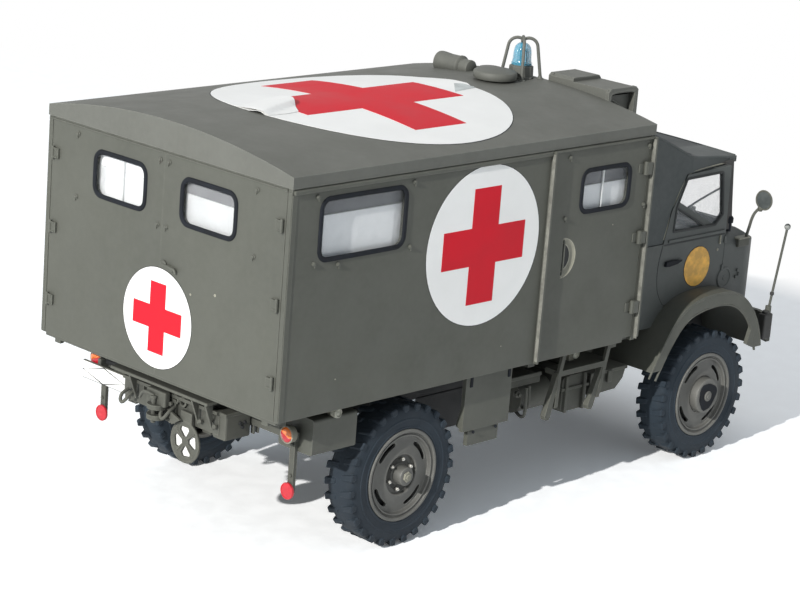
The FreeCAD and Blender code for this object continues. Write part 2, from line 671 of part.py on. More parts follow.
def makeRearGear():
    """Tow jaw with its pin bore, the oval footstep, and the lamps on their hanging carriers."""
    back = rearX - number("rail_tail") - 0.8
    plate = cuboid(back, -0.6, 0, -3.2, 3.2, 20.4, 24.6)
    drum = Part.makeCylinder(1.5, 1.2, vector(back - 1.4, 0, 22.2), vector(1, 0, 0))
    ears = []
    for low in (22.7, 20.9):
        ears += [cuboid(back, -2.0, -0.4, -1.7, 1.7, low, low + 0.8),
                 Part.makeCylinder(1.7, 0.8, vector(back - 2.0, 0, low))]
    mouth = cuboid(back, -4.0, -1.7, -2.2, 2.2, 21.7, 22.7)
    bore = Part.makeCylinder(0.5, 6, vector(back - 2.0, 0, 19))
    jaw = plate.multiFuse([drum] + ears).cut(mouth).cut(bore)
    node("tow_coupling", feature("towCoupling", jaw.removeSplitter()))
    # the footstep: an upright oval plate with four large holes, hung from the rear cross member
    y, high, low, half = -6.1, 21.6, 14.6, 3.4
    middle = low + half + 0.2
    ends = [Part.makeCylinder(half, 0.6, vector(back - 0.8, y, z), vector(1, 0, 0))
            for z in (high - half, low + half)]
    step = cuboid(back, -0.8, -0.2, y - half, y + half, low + half, high - half).multiFuse(ends)
    step = step.multiFuse([cuboid(back, -0.8, 0, y - 1.4, y + 1.4, 20.6, 23.4)])
    holes = []
    for turn in (8, 98, 188, 278):
        across, up = 2.0 * math.sin(math.radians(turn)), 2.0 * math.cos(math.radians(turn))
        holes.append(Part.makeCylinder(0.92, 3, vector(back - 2, y + across, middle + up), vector(1, 0, 0)))
    node("rear_step", feature("rearStep", step.cut(Part.makeCompound(holes)).removeSplitter()))
    lampY = bodySide - 5.75
    barX = -23.0
    bar = cuboid(rearX, barX - 0.8, barX, 14.0, lampY + 0.9, 22.5, 23.9)
    leg = cuboid(rearX, barX - 0.2, barX + 0.5, lampY - 0.9, lampY + 0.3, 13.2, 23.0)
    hanger = cuboid(rearX, barX - 0.2, barX + 0.4, 14.0, 15.8, 22.5, number("box_floor_z"))
    bothSides("lamp_bars", feature("lampBar", bar.multiFuse([leg, hanger]).removeSplitter()))
    lamp = Part.makeCylinder(1.4, 1.2, vector(rearX + barX - 2.0, lampY, 23.7), vector(1, 0, 0))
    disc = Part.makeCylinder(1.2, 0.5, vector(rearX + barX - 0.7, lampY - 0.5, 13.5), vector(1, 0, 0))
    bothSides("rear_lamps", feature("rearLamp", lamp))
    bothSides("reflectors", feature("reflectorDisc", disc))


makeRearGear()


# ---- ambulance body ----

def makeFloor():
    """Body floor with cross bearers and two long bearers that sit on the rails."""
    inside = "box_width / 2 - box_wall"
    pieces = [block("floorPlate", f"{boxRear} + box_wall", f"-({inside})", "box_floor_z",
                    f"{boxLength} - 2 * box_wall", f"2 * ({inside})", "floor_thickness")]
    places = [f"{rearAxle} - 29.6", f"{rearAxle} - 17", f"{rearAxle} + 16.4", f"{boxFront} - 25.5",
              f"{boxFront} - 2.8"]
    for index, place in enumerate(places):
        pieces.append(block(f"bearer{index}", place, "-(box_width / 2 - bearer_inset)",
                            "box_floor_z - bearer_height", "1.6", "box_width - 2 * bearer_inset",
                            "bearer_height"))
    for side in (1, -1):
        start = "rail_y - rail_width / 2" if side > 0 else "-(rail_y + rail_width / 2)"
        tag = "Left" if side > 0 else "Right"
        pieces.append(block("longBearer" + tag, f"{rearAxle} - rail_tail", start, "rail_top",
                            f"{boxFront} - {rearAxle} + rail_tail + 0.5", "rail_width",
                            "box_floor_z - rail_top"))
        pieces.append(block("middleFoot" + tag, f"{boxFront} - 16.5", start, "rail_top - rail_drop", "4",
                            "rail_width", "rail_drop"))
    return node("box_floor", fuse("boxFloor", pieces))


makeFloor()

windowHole = (f"{boxRear} + window_start", "window_bottom", "window_length", "window_height", "window_radius")
doorHole = (f"{boxFront} - door_window_start", "door_window_bottom", "door_window_length",
            "door_window_height", "window_radius")
doorStart = f"({boxFront} - door_length)"
wallBottom = "box_floor_z"
sideOuter = "box_width / 2"


def edgeStrip(name, side, front, bottom):
    """Upright strip that stands out of a side wall, along the door's edge or at the body's front corner."""
    start = f"{sideOuter} - 0.1" if side > 0 else f"-({sideOuter}) - strip_reach"
    return block(name, f"{front} - strip_thickness", start, bottom, "strip_thickness", "strip_reach + 0.1",
                 f"box_wall_top - 0.3 - ({bottom})")


def makeBoxWalls():
    front = boxFront
    full = rectangle(boxRear, wallBottom, front, "box_wall_top")
    wall = panel("leftWall", "XZ_Plane", f"-{sideOuter}", full, [windowHole, doorHole], "box_wall")
    strip = edgeStrip("leftCornerStrip", 1, front, f"{wallBottom} + 0.8")
    node("box_left_wall", fuse("leftWallStripped", [wall, strip]))
    short = rectangle(boxRear, wallBottom, doorStart, "box_wall_top")
    wall = panel("rightWall", "XZ_Plane", f"{sideOuter} - box_wall", short, [windowHole], "box_wall")
    strip = edgeStrip("doorJamb", -1, doorStart, wallBottom)
    node("box_right_wall", fuse("rightWallStripped", [wall, strip]))
    inner = "box_width / 2 - box_wall"
    face = rectangle(f"-({sideOuter})", wallBottom, inner, "box_wall_top")
    wall = panel("frontWall", "YZ_Plane", f"{front} - box_wall", face, [], "box_wall")
    strip = edgeStrip("rightCornerStrip", -1, front, f"{wallBottom} + 0.8")
    node("box_front_wall", fuse("frontWallStripped", [wall, strip]))


makeBoxWalls()


def makeSideDoor():
    """Side door with a notched lower front corner, a half-round handle pocket and three hinges."""
    start = f"{doorStart} + panel_gap"
    end = f"{boxFront} - box_wall - panel_gap"
    top = "box_wall_top - panel_gap"
    outline = [(start, wallBottom), (f"{end} - 2.4", wallBottom), (f"{end} - 2.4", f"{wallBottom} + 0.8"),
               (end, f"{wallBottom} + 0.8"), (end, top), (start, top)]
    leaf = panel("sideDoorLeaf", "XZ_Plane", f"{sideOuter} - box_wall", outline, [doorHole], "box_wall")
    centre = vector(number(doorStart) + 4.7, -bodySide, 47.0)
    scoop = Part.makeCylinder(3.7, 1.2, centre - vector(0, 0.6, 0), vector(0, 1, 0))
    scoop = scoop.common(Part.makeBox(4.9, 2, 9, centre + vector(0, -1, -4.5)))
    carved = cut("sideDoorPocketed", leaf, feature("handlePocket", scoop))
    hinges = []
    for index, z in enumerate((34.1, 47.2, 60.0)):
        hinges.append(block(f"sideHinge{index}", f"{end} - 1.0", f"-({sideOuter}) - strip_reach", str(z),
                            "1.3", "strip_reach - 0.05", "2.2"))
        hinges.append(block(f"sideHingeFoot{index}", f"{end} - 1.0", f"-({sideOuter}) - 0.1", str(z), "1.0",
                            "0.2", "2.2"))
    node("side_door", fuse("sideDoor", [carved] + hinges))


makeSideDoor()


def makeRearDoors():
    """Two full-height rear doors, each with a window and three hinges; the right one carries the handle."""
    inner = "(box_width / 2 - box_wall - panel_gap)"
    for side, label in ((1, "rear_door_left"), (-1, "rear_door_right")):
        low = "panel_gap / 2" if side > 0 else f"-{inner}"
        high = inner if side > 0 else "-panel_gap / 2"
        holeStart = "rear_window_inset" if side > 0 else "-(rear_window_inset + rear_window_width)"
        hole = (holeStart, "rear_window_bottom", "rear_window_width", "rear_window_height", "window_radius")
        outline = rectangle(low, wallBottom, high, "box_wall_top - panel_gap")
        pieces = [panel(label + "Leaf", "YZ_Plane", boxRear, outline, [hole], "box_wall")]
        hingeStart = f"{inner} - 2.0" if side > 0 else f"-{inner} + 0.4"
        for index, z in enumerate((34.0, 46.9, 59.9)):
            pieces.append(block(f"{label}Hinge{index}", f"{boxRear} - 0.4", hingeStart, str(z), "0.5",
                                "1.6", "1.8"))
        if side < 0:
            pieces.append(block("rearHandle", f"{boxRear} - 0.6", "-3.8", "47.4", "0.7", "2.6", "0.6"))
        node(label, fuse(label + "All", pieces))


makeRearDoors()


def roofForm(shrink, bottom):
    """Crowned roof as a filled form, drawn in by a wall all round."""
    rear = number(boxRear) - number("roof_lap") + shrink
    front = boxFrontX + number("roof_lap") - shrink
    side = number("box_width / 2 + roof_lap") - shrink
    edge = number("box_wall_top + roof_rim") - shrink
    top = edge + number("roof_crown")
    arc = Part.Arc(vector(rear, -side, edge), vector(rear, 0, top), vector(rear, side, edge)).toShape()
    ends = [vector(rear, side, edge), vector(rear, side, bottom), vector(rear, -side, bottom),
            vector(rear, -side, edge)]
    lines = [Part.LineSegment(a, b).toShape() for a, b in zip(ends, ends[1:])]
    return Part.Face(Part.Wire([arc] + lines)).extrude(vector(front - rear, 0, 0))


def makeRoof():
    """Crowned roof shell with a straight rim all round and closed ends."""
    low = number("box_wall_top")
    node("box_roof", feature("boxRoof", roofForm(0, low).cut(roofForm(number("box_wall"), low - 1))))


makeRoof()


def makeBoxGlass():
    """One pane in each window hole, level with the inside of its wall, and the white blinds behind them."""
    panes = []
    thick = "pane_thickness"
    for name, role, offset, hole in (
            ("LeftRear", "XZ_Plane", f"-({sideOuter} - box_wall + {thick})", windowHole),
            ("LeftFront", "XZ_Plane", f"-({sideOuter} - box_wall + {thick})", doorHole),
            ("RightRear", "XZ_Plane", f"{sideOuter} - box_wall", windowHole),
            ("RightFront", "XZ_Plane", f"{sideOuter} - box_wall", doorHole),
            ("DoorLeft", "YZ_Plane", f"{boxRear} + box_wall - {thick}",
             ("rear_window_inset", "rear_window_bottom", "rear_window_width", "rear_window_height",
              "window_radius")),
            ("DoorRight", "YZ_Plane", f"{boxRear} + box_wall - {thick}",
             ("-(rear_window_inset + rear_window_width)", "rear_window_bottom", "rear_window_width",
              "rear_window_height", "window_radius"))):
        body = doc.addObject("PartDesign::Body", "pane" + name)
        sketch = newSketch(body, "pane" + name + "Outline", role, offset)
        drawRounded(sketch, *hole)
        pad(body, sketch, thick, "pane" + name + "Pad")
        panes.append(body)
    node("box_windows", group("boxPanes", panes))
    half = bodySide - number("box_wall")
    blinds = []
    thickness, overlap = 0.3, 0.8
    for hole, height in ((windowHole, 7.0), (doorHole, 4.4)):
        x0, z0, length = (number(text) for text in hole[:3])
        for low in (half - thickness, -half):
            blinds.append(cuboid(x0, -overlap, length + overlap, low, low + thickness, z0 - overlap,
                                 z0 + height))
    rear = number(f"{boxRear} + box_wall")
    width, z0 = number("rear_window_width"), number("rear_window_bottom")
    for y0 in (number("rear_window_inset"), -number("rear_window_inset") - width):
        blinds.append(cuboid(rear, 0, thickness, y0 - overlap, y0 + width + overlap, z0 - overlap, z0 + 4.9))
    node("window_blinds", feature("windowBlinds", Part.makeCompound(blinds)))


makeBoxGlass()


def roofHeight(y):
    """Height of the crowned roof at a distance from the middle."""
    half = number("box_width / 2 + roof_lap")
    rise = number("roof_crown")
    radius = (half * half + rise * rise) / (2 * rise)
    return number("box_wall_top + roof_rim + roof_crown") - radius + math.sqrt(radius * radius - y * y)


def makeRoofGear():
    """Intake hood over the front edge, round vents, and the beacon under its guard of crossed hoops."""
    # the intake hood: a folded sheet box in two lengths, the right one lower and open at its end
    low, high = number("box_wall_top") + 0.7, number("box_wall_top") + 6.5
    back = boxFrontX + number("roof_lap")
    outer = [(back, low), (back + 8.0, low), (back + 8.0, high - 0.5), (back + 7.4, high), (back + 0.6, high),
             (back, high - 0.5)]
    inner = [(back + 0.7, low + 0.5), (back + 7.3, low + 0.5), (back + 7.3, high - 1.15),
             (back + 0.7, high - 1.15)]
    shell = prismY(outer, -18.4, -4.0)
    upperCut = cuboid(back, -1, 9, -19.0, -9.9, high - 0.7, high + 1)
    rim = [(back - 0.1, low), (back + 8.3, low), (back + 8.3, high - 1.1), (back + 7.6, high - 0.5),
           (back + 0.5, high - 0.5), (back - 0.1, high - 1.1)]
    flange = prismY(rim, -18.8, -18.0)
    ductShell = shell.cut(upperCut).fuse(flange).cut(prismY(inner, -20, -4.7))
    roof = roofForm(0, number("box_wall_top"))
    node("roof_duct", feature("roofDuct", ductShell.cut(roof).removeSplitter()))
    # mushroom vent: a short neck under a domed cap with a round rim
    place = vector(boxFrontX - 10.0, 0.3, roofHeight(0.3) - 0.3)
    cap = Part.makeSphere(6.0).common(Part.makeBox(10, 10, 2, vector(-5, -5, 4.45)))
    cap.translate(place + vector(0, 0, -3.3))
    disc = Part.makeCylinder(3.8, 0.5, place + vector(0, 0, 1.4))
    mushroom = Part.makeCylinder(2.6, 1.6, place).multiFuse([disc, cap])
    # heater cowl lying across the roof, its mouth to the left and a collar on its right end
    cowlX, cowlZ, radius = boxFrontX - 6.5, roofHeight(15) + 0.9, 2.0
    cowl = Part.makeCylinder(radius, 6.0, vector(cowlX, 11.6, cowlZ), vector(0, 1, 0))
    collar = Part.makeCylinder(radius - 0.5, 2.4, vector(cowlX, 9.4, cowlZ - 0.2), vector(0, 1, 0))
    mouth = Part.makeCylinder(radius - 0.5, 4.0, vector(cowlX, 14.4, cowlZ), vector(0, 1, 0))
    foot = cuboid(cowlX, -1.4, 1.4, 10.4, 17.0, roofHeight(17) - 0.6, cowlZ)
    cowl = cowl.multiFuse([collar, foot]).cut(mouth)
    lowCap = Part.makeCylinder(2.4, 1.1, vector(boxFrontX - 3.1, 7.6, roofHeight(7.6) - 0.4))
    vents = [shape.cut(roof) for shape in (mushroom, cowl, lowCap)]
    node("roof_vents", feature("roofVents", Part.makeCompound(vents)))
    beaconX, top = boxFrontX - 3.2, roofHeight(0)
    base = Part.makeCylinder(2.5, 2.4, vector(beaconX, 0, top - 0.2)).cut(roof)
    node("beacon_base", feature("beaconBase", base))
    z, domeRadius = top + 2.2, 1.75
    straight = 2.4
    dome = Part.makeCylinder(domeRadius, straight, vector(beaconX, 0, z))
    dome = dome.fuse(Part.makeSphere(domeRadius, vector(beaconX, 0, z + straight)))
    node("beacon_dome", feature("beaconDome", dome.removeSplitter()))
    node("beacon_guard", feature("beaconGuard", guardShape(beaconX, top).cut(roof)))


def guardShape(beaconX, top):
    """Two crossed hoops; each rises in a round hump on both sides of the middle and dips where they cross."""
    reach, height, bend, hump, thickness = 3.7, 7.4, 1.7, 1.05, 0.3
    centre = height - bend
    # where a straight leg from the foot touches the round hump
    distance = math.hypot(reach - hump, centre)
    lean = math.atan2(reach - hump, centre) - math.pi / 2 + math.acos(bend / distance)
    tangent = (hump + bend * math.cos(lean), centre + bend * math.sin(lean))
    crossing = centre + math.sqrt(bend * bend - hump * hump)
    sink = -0.8
    foot = reach + (reach - tangent[0]) * -sink / tangent[1]
    hoops = Part.makeSphere(0.45, vector(beaconX, 0, top + crossing))
    for turn in (45, 135, 225, 315):
        across = vector(math.cos(math.radians(turn)), math.sin(math.radians(turn)), 0)

        def place(out, up):
            return vector(beaconX, 0, top + up) + across * out

        line = Part.LineSegment(place(foot, sink), place(*tangent)).toShape()
        arc = Part.Arc(place(*tangent), place(hump, height), place(0, crossing)).toShape()
        circle = Part.Wire(Part.makeCircle(thickness, place(foot, sink), place(*tangent) - place(foot, sink)))
        hoops = hoops.fuse(Part.Wire([line, arc]).makePipeShell([circle], True, False))
    return hoops


makeRoofGear()


# ---- cab ----

def cabOutline(shrink):
    """Plan of the cab's nose and cowl, drawn in by the thickness of its skin."""
    rear = frontX + number("door_front") + 0.1
    front = frontX + number("nose_front") - shrink
    side = doorPlane - shrink
    nose = side - 12.3
    # the left half from the door post to the middle of the nose
    points = [(rear, side), (frontX + 13.7, side - 0.3), (frontX + 18.2, side - 2.3),
              (frontX + 20.4 - shrink, side - 5.8), (frontX + 21.5 - shrink, side - 9.0), (front, nose)]
    corners = [vector(x, y, 0) for x, y in points]
    edges = [Part.LineSegment(corners[0], corners[1]).toShape(), Part.Arc(*corners[1:4]).toShape(),
             Part.Arc(*corners[3:6]).toShape()]
    mirrored = [flipped(edge) for edge in edges]
    blunt = Part.LineSegment(vector(front, nose, 0), vector(front, -nose, 0)).toShape()
    back = Part.LineSegment(vector(rear, side, 0), vector(rear, -side, 0)).toShape()
    return Part.Wire(Part.__sortEdges__(edges + mirrored + [blunt, back]))


def shoulderWire(x, shrink, bend):
    """Front view of the nose at one place: upright sides that round over into the top."""
    side, top = doorPlane - shrink, number("belt_z") - shrink
    low = 20.0
    half = math.sqrt(0.5)
    arcs = []
    for sign in (1, -1):
        across = side - bend
        arcs.append(Part.Arc(vector(x, sign * side, top - bend),
                             vector(x, sign * (across + bend * half), top - bend + bend * half),
                             vector(x, sign * across, top)).toShape())
    lines = [(side - bend, top, bend - side, top), (-side, top - bend, -side, low), (-side, low, side, low),
             (side, low, side, top - bend)]
    runs = [Part.LineSegment(vector(x, y0, z0), vector(x, y1, z1)).toShape() for y0, z0, y1, z1 in lines]
    return Part.Wire([arcs[0], runs[0], arcs[1], runs[1], runs[2], runs[3]])


def shoulderForm(shrink):
    """The nose's rounded shoulders, small at the door post and larger towards the front."""
    rows = ((2.0, 1.6), (13.0, 4.8), (number("nose_front") + 0.6, 6.8))
    return Part.makeLoft([shoulderWire(frontX + x, shrink, bend) for x, bend in rows], True, True)


def noseProfile(shrink):
    """Side view of the hood and the nose as a face at Y = -40."""
    y = -40.0
    rear = frontX + number("door_front") + 0.1
    front = frontX + number("nose_front") - shrink
    top = number("belt_z") - shrink
    points = [vector(rear, y, 24.6), vector(rear, y, top), vector(frontX + 13.1, y, top - 0.4),
              vector(frontX + 18.1 - shrink * 0.5, y, 39.9 - shrink), vector(front, y, 33.0),
              vector(front, y, 24.6)]
    edges = [Part.LineSegment(a, b).toShape() for a, b in zip(points[:3], points[1:4])]
    bend = Part.Arc(points[3], vector(frontX + 20.8 - shrink * 0.8, y, 37.2 - shrink * 0.7),
                    points[4]).toShape()
    edges += [bend, Part.LineSegment(points[4], points[5]).toShape(),
              Part.LineSegment(points[5], points[0]).toShape()]
    return Part.Face(Part.Wire(edges))


def noseSolid(shrink):
    plan = Part.Face(cabOutline(shrink)).extrude(vector(0, 0, 80))
    side = noseProfile(shrink).extrude(vector(0, 80, 0))
    return plan.common(side).common(shoulderForm(shrink))


def wheelArch(inset, y0, y1):
    """The space under the fender's outline, drawn in towards the wheel by an inset."""
    size = number("tyre_radius + fender_gap")
    scale = (size - inset) / 19.6
    points = [(-19.0, 6.6), (-17.4, 9.4), (-15.0, 13.3), (-11.6, 17.5), (-7.5, 19.7), (0.0, 20.6),
              (5.5, 20.0), (9.6, 17.8), (12.7, 14.6), (14.7, 11.0), (15.8, 6.6)]
    middle = number("tyre_radius")
    crest = [vector(frontX + x * scale, y0, middle + z * scale) for x, z in points]
    curve = Part.BSplineCurve()
    curve.interpolate(crest)
    first, last = crest[0], crest[-1]
    ends = [last, vector(last.x + 0.6, y0, middle - 6), vector(first.x - 3.0, y0, middle - 6), first]
    lines = [Part.LineSegment(a, b).toShape() for a, b in zip(ends, ends[1:])]
    return Part.Face(Part.Wire([curve.toShape()] + lines)).extrude(vector(0, y1 - y0, 0))


def cowlSkin():
    return noseSolid(0).cut(noseSolid(number("cab_wall")))


def makeNose():
    """Hollow cowl and nose with its grille opening, and the ribbed hood lid over the engine."""
    skin = cowlSkin()
    for side in (1, -1):
        low, high = sorted((side * number("fender_inner_y"), side * 40.0))
        skin = skin.cut(wheelArch(0, low, high))
    grilleHalf = doorPlane - 14.7
    opening = cuboid(frontX, 17.1, 27.1, -grilleHalf, grilleHalf, 26.4, 33.2)
    corners = [edge for edge in opening.Edges if abs(edge.Vertexes[0].X - edge.Vertexes[-1].X) > 1]
    skin = skin.cut(opening.makeFillet(2.0, corners))
    lid = cuboid(frontX, 11.7, 27.1, -14.5, 14.5, 37.4, 60)
    hood = skin.common(lid)
    ribs = [cuboid(frontX, 12.4, 17.4, y - 0.35, y + 0.35, 42.0, 43.6) for y in (-8.0, 8.0)]
    node("cab_cowl", feature("cabCowl", skin.cut(lid)))
    node("hood", feature("hoodLid", hood.multiFuse(ribs).cut(noseSolid(number("cab_wall"))).removeSplitter()))
    front = number("nose_front")
    edge = grilleHalf + 0.8
    frame = cuboid(frontX, front - 1.5, front - 0.9, -edge, edge, 25.8, 33.8)
    frame = frame.cut(cuboid(frontX, front - 2, front, 0.2 - grilleHalf, grilleHalf - 0.2, 26.6, 33.0))
    slats = [cuboid(frontX, front - 1.5, front - 0.9, -grilleHalf, grilleHalf, z, z + 0.3)
             for z in (27.3, 28.4, 29.5, 30.6, 31.7)]
    spread = (grilleHalf - 1.6) / 4
    uprights = []
    for step in range(-4, 5):
        y = step * spread
        uprights.append(cuboid(frontX, front - 1.5, front - 1.1, y - 0.15, y + 0.15, 26.5, 33.1))
    node("grille", feature("grilleFrame", frame.multiFuse(slats + uprights).removeSplitter().cut(skin)))


makeNose()


def doorSolid(grow, y0, y1):
    """A cab door's outline as a solid, with its hinge-side and lower edges moved out by a gap."""
    rear, front = frontX - number("door_rear"), frontX + number("door_front")
    belt, sill = number("belt_z"), number("door_sill_z") - grow
    corners = [(rear - 0.2 - grow, belt), (rear + 1.4 - grow, 49.6), (rear + 5.2, 56.2 + grow),
               (rear + 18.4, 56.6 + grow), (front, belt), (front, sill), (rear + 1.5 - grow, sill)]
    points = [vector(x, y0, z) for x, z in corners]
    edges = [Part.LineSegment(a, b).toShape() for a, b in zip(points, points[1:])]
    bow = vector(rear - 1.3 - grow, y0, (belt + number("door_sill_z")) / 2 + 0.6)
    edges.append(Part.Arc(points[-1], bow, points[0]).toShape())
    return Part.Face(Part.Wire(edges)).extrude(vector(0, y1 - y0, 0))


def makeCabTub():
    """Cab floor, firewall, rear wall and sills, one tub open at the top and at the doors."""
    rear = -number("cab_rear")
    post = number("door_front") + 0.1
    half = doorPlane
    floor = number("cab_floor_z")
    belt = number("belt_z")
    wall = number("cab_wall")
    inside = half - wall
    pieces = [cuboid(frontX, rear, post + 0.8, -inside, inside, floor, floor + 0.9),
              cuboid(frontX, rear, rear + wall, -half, half, floor, belt),
              cuboid(frontX, post, post + 0.8, 0.4 - inside, inside - 0.4, floor, belt - wall)]
    for side in (1, -1):
        low = min(side * half, side * inside)
        pieces.append(cuboid(frontX, rear, 1.6 - number("door_rear"), low, low + wall, floor, belt))
    rearHalf = cuboid(frontX, -40, 0, -40, 40, number("door_sill_z") - 1, belt + 1)
    tub = pieces[0].multiFuse(pieces[1:]).cut(doorSolid(0.05, -40, 40).common(rearHalf)).removeSplitter()
    # the floor's front corners beside the firewall stay clear of the cowl
    corners = cuboid(frontX, post, post + 1.6, -40, 40, 20, floor + 0.95)
    tub = tub.cut(corners.cut(cuboid(frontX, post - 0.4, post + 2.6, 0.4 - inside, inside - 0.4, 19, 40)))
    for side in (1, -1):
        low, high = sorted((side * number("fender_inner_y"), side * 40.0))
        tub = tub.cut(wheelArch(0, low, high))
    node("cab_tub", feature("cabTub", tub.cut(cowlSkin())))


makeCabTub()


def makeFenders():
    """Arched front fenders with a turned-down lip that widens into a flap at the front end."""
    outer = number("fender_outer_y")
    inner = number("fender_inner_y")
    skin = number("fender_skin")
    foot = number("tyre_radius") + 7.7
    arch = wheelArch(0, inner, outer).cut(wheelArch(skin, inner - 2, outer + 1))
    lip = wheelArch(0, outer - skin, outer).cut(wheelArch(number("fender_lip"), outer - 2, outer + 1))
    flap = prismY([(frontX + 10.8, foot + 1.0), (frontX + 12.0, foot + 4.6), (frontX + 14.2, foot + 5.0),
                   (frontX + 15.4, foot), (frontX + 14.0, foot - 0.4)], outer - skin, outer)
    ring = arch.multiFuse([lip, flap]).common(cuboid(frontX, -30, 30, 0, 60, foot, 60))
    left = ring.common(wheelArch(0, inner, outer)).removeSplitter()
    node("front_fenders", feature("frontFenders", Part.makeCompound([left, flipped(left)])))


makeFenders()


def makeCabDoors():
    """Cab doors: a lower panel whose edge follows the fender and a window frame above it."""
    rear = frontX - number("door_rear")
    wall = number("cab_wall")
    leaf = doorSolid(0, doorPlane - wall, doorPlane)
    window = [(rear + 2.4, 45.5), (rear + 15.2, 45.3), (rear + 17.4, 47.2), (rear + 16.0, 55.6),
              (rear + 5.1, 55.4), (rear + 2.7, 50.2)]
    opening = prismY(window, doorPlane - 2, doorPlane + 1)
    lengthwise = [edge for edge in opening.Edges if abs(edge.Vertexes[0].Y - edge.Vertexes[-1].Y) > 1]
    opening = opening.makeFillet(0.7, lengthwise)
    bar = prismY([(rear + 2.3, 50.2), (rear + 12.4, 45.0), (rear + 15.6, 45.1), (rear + 2.8, 51.5)],
                 doorPlane - wall, doorPlane - 0.2)
    leaf = leaf.cut(opening).fuse(bar).cut(wheelArch(-0.05, 13.0, 40.0))
    handle = cuboid(frontX, -10.9, -7.3, doorPlane, doorPlane + 0.5, 39.2, 39.9)
    leaf = leaf.fuse(handle).removeSplitter()
    node("cab_door_left", feature("cabDoorLeft", leaf))
    node("cab_door_right", feature("cabDoorRight", flipped(leaf)))
    slab = prismY([(rear, 44), (rear + 20, 44), (rear + 20, 58), (rear, 58)], doorPlane - 0.8,
                  doorPlane - 0.4)
    pane = slab.common(opening).cut(bar)
    return [pane, flipped(pane)]


sidePanes = makeCabDoors()


def makeScreen():
    """Windscreen frame leaning back on the cowl, with two panes either side of a middle post."""
    half = doorPlane - number("screen_inset")
    tall = number("screen_height")
    base = vector(frontX + number("screen_base"), 0, number("belt_z"))
    frame = Part.makeBox(1.0, 2 * half, tall, vector(-1.0, -half, 0))
    holes = [Part.makeBox(3.0, half - 1.8, tall - 2.9, vector(-2, y, 1.5)) for y in (0.6, 1.2 - half)]
    panes = [Part.makeBox(0.4, half - 1.8, tall - 2.9, vector(-0.7, y, 1.5)) for y in (0.6, 1.2 - half)]
    lean = FreeCAD.Rotation(vector(0, 1, 0), -number("screen_angle"))
    stand = FreeCAD.Placement(base, lean)
    made = []
    for shape in [frame.cut(Part.makeCompound(holes))] + panes:
        shape.Placement = stand.multiply(shape.Placement)
        made.append(shape)
    trimmed = made[0].cut(noseSolid(0))
    node("screen_frame", feature("screenFrame", trimmed))
    node("cab_glass", feature("cabGlass", Part.makeCompound(made[1:] + sidePanes)))
    return trimmed


screenFrame = makeScreen()


def canvasSection(x, bottom, edge, shrink, half):
    side = half - shrink
    rise = number("canvas_crown")
    top = edge - shrink
    arc = Part.Arc(vector(x, -side, top), vector(x, 0, top + rise), vector(x, side, top)).toShape()
    points = [vector(x, side, top), vector(x, side, bottom), vector(x, -side, bottom), vector(x, -side, top)]
    return Part.Wire([arc] + [Part.LineSegment(a, b).toShape() for a, b in zip(points, points[1:])])


def makeCanvas():
    """Soft top moulded as a thin shell: high at the back, a knee above the doors, low over the windscreen."""
    belt = number("belt_z")
    skin = 0.8
    side, narrow = doorPlane - 0.2, doorPlane - number("canvas_front_inset")
    rearZ, kneeZ, frontZ = (number(text) for text in ("canvas_rear_z", "canvas_knee_z", "canvas_front_z"))
    rear, knee = -number("cab_rear"), -number("canvas_knee")
    # place from the front axle, height of the roof edge, half width
    stations = [(rear, rearZ, side), (rear + 2.9, rearZ - 0.5, side), (knee, kneeZ, side),
                (9.5, frontZ, narrow)]
    sections = [canvasSection(frontX + x, belt + 0.1, z, 0, half) for x, z, half in stations]
    outer = Part.makeLoft(sections, True, True)
    stations[0] = (rear + skin, rearZ, side)
    stations[3] = (8.7, frontZ + 0.1, narrow + 0.1)
    sections = [canvasSection(frontX + x, belt - 1, z, skin, half) for x, z, half in stations]
    shell = outer.cut(Part.makeLoft(sections, True, True))
    doorRear = frontX - number("door_rear")
    door = prismY([(doorRear - 0.3, belt - 1), (doorRear - 0.3, belt), (doorRear + 1.3, 49.6),
                   (doorRear + 5.1, 56.3), (doorRear + 18.4, 56.7), (frontX + 12.1, 56.7),
                   (frontX + 12.1, belt - 1)], -40, 40)
    node("canvas_top", feature("canvasTop", shell.cut(door).cut(screenFrame)))


makeCanvas()


def makeCabInside():
    """Two seats, the dashboard and the steering wheel on its column."""
    floor = number("cab_floor_z") + 0.9
    seats = []
    for y in (11.5, -11.5):
        base = cuboid(frontX, -16.9, -5.9, y - 6.2, y + 6.2, floor, floor + 8.0)
        back = prismY([(frontX - 18.3, floor + 7.0), (frontX - 15.7, floor + 7.0),
                       (frontX - 17.7, floor + 18.5), (frontX - 19.9, floor + 18.5)], y - 6.2, y + 6.2)
        seats.append(base.fuse(back).cut(wheelArch(-0.05, -40, 40)).removeSplitter())
    node("cab_seats", feature("cabSeats", Part.makeCompound(seats)))
    dash = prismY([(frontX + 3.7, 38.4), (frontX + 6.5, 36.0), (frontX + 6.5, 42.4), (frontX + 3.1, 42.4)],
                  1.2 - doorPlane, doorPlane - 1.2)
    node("dashboard", feature("dashboardPanel", dash))
    centre = vector(frontX - 0.7, 11.0, 44.6)
    lean = vector(-0.62, 0, 0.78)
    wheel = Part.makeTorus(5.2, 0.4, centre, lean)
    column = Part.makeCylinder(0.5, 9.0, centre + lean * 0.4, lean * -1)
    spokes = []
    for turn in (90, 210, 330):
        along = FreeCAD.Rotation(lean, turn).multVec(vector(0, 1, 0))
        spokes.append(Part.makeCylinder(0.3, 5.2, centre, along))
    wheelAll = wheel.multiFuse([column] + spokes).cut(dash)
    node("steering_wheel", feature("steeringWheel", wheelAll.removeSplitter()))


makeCabInside()


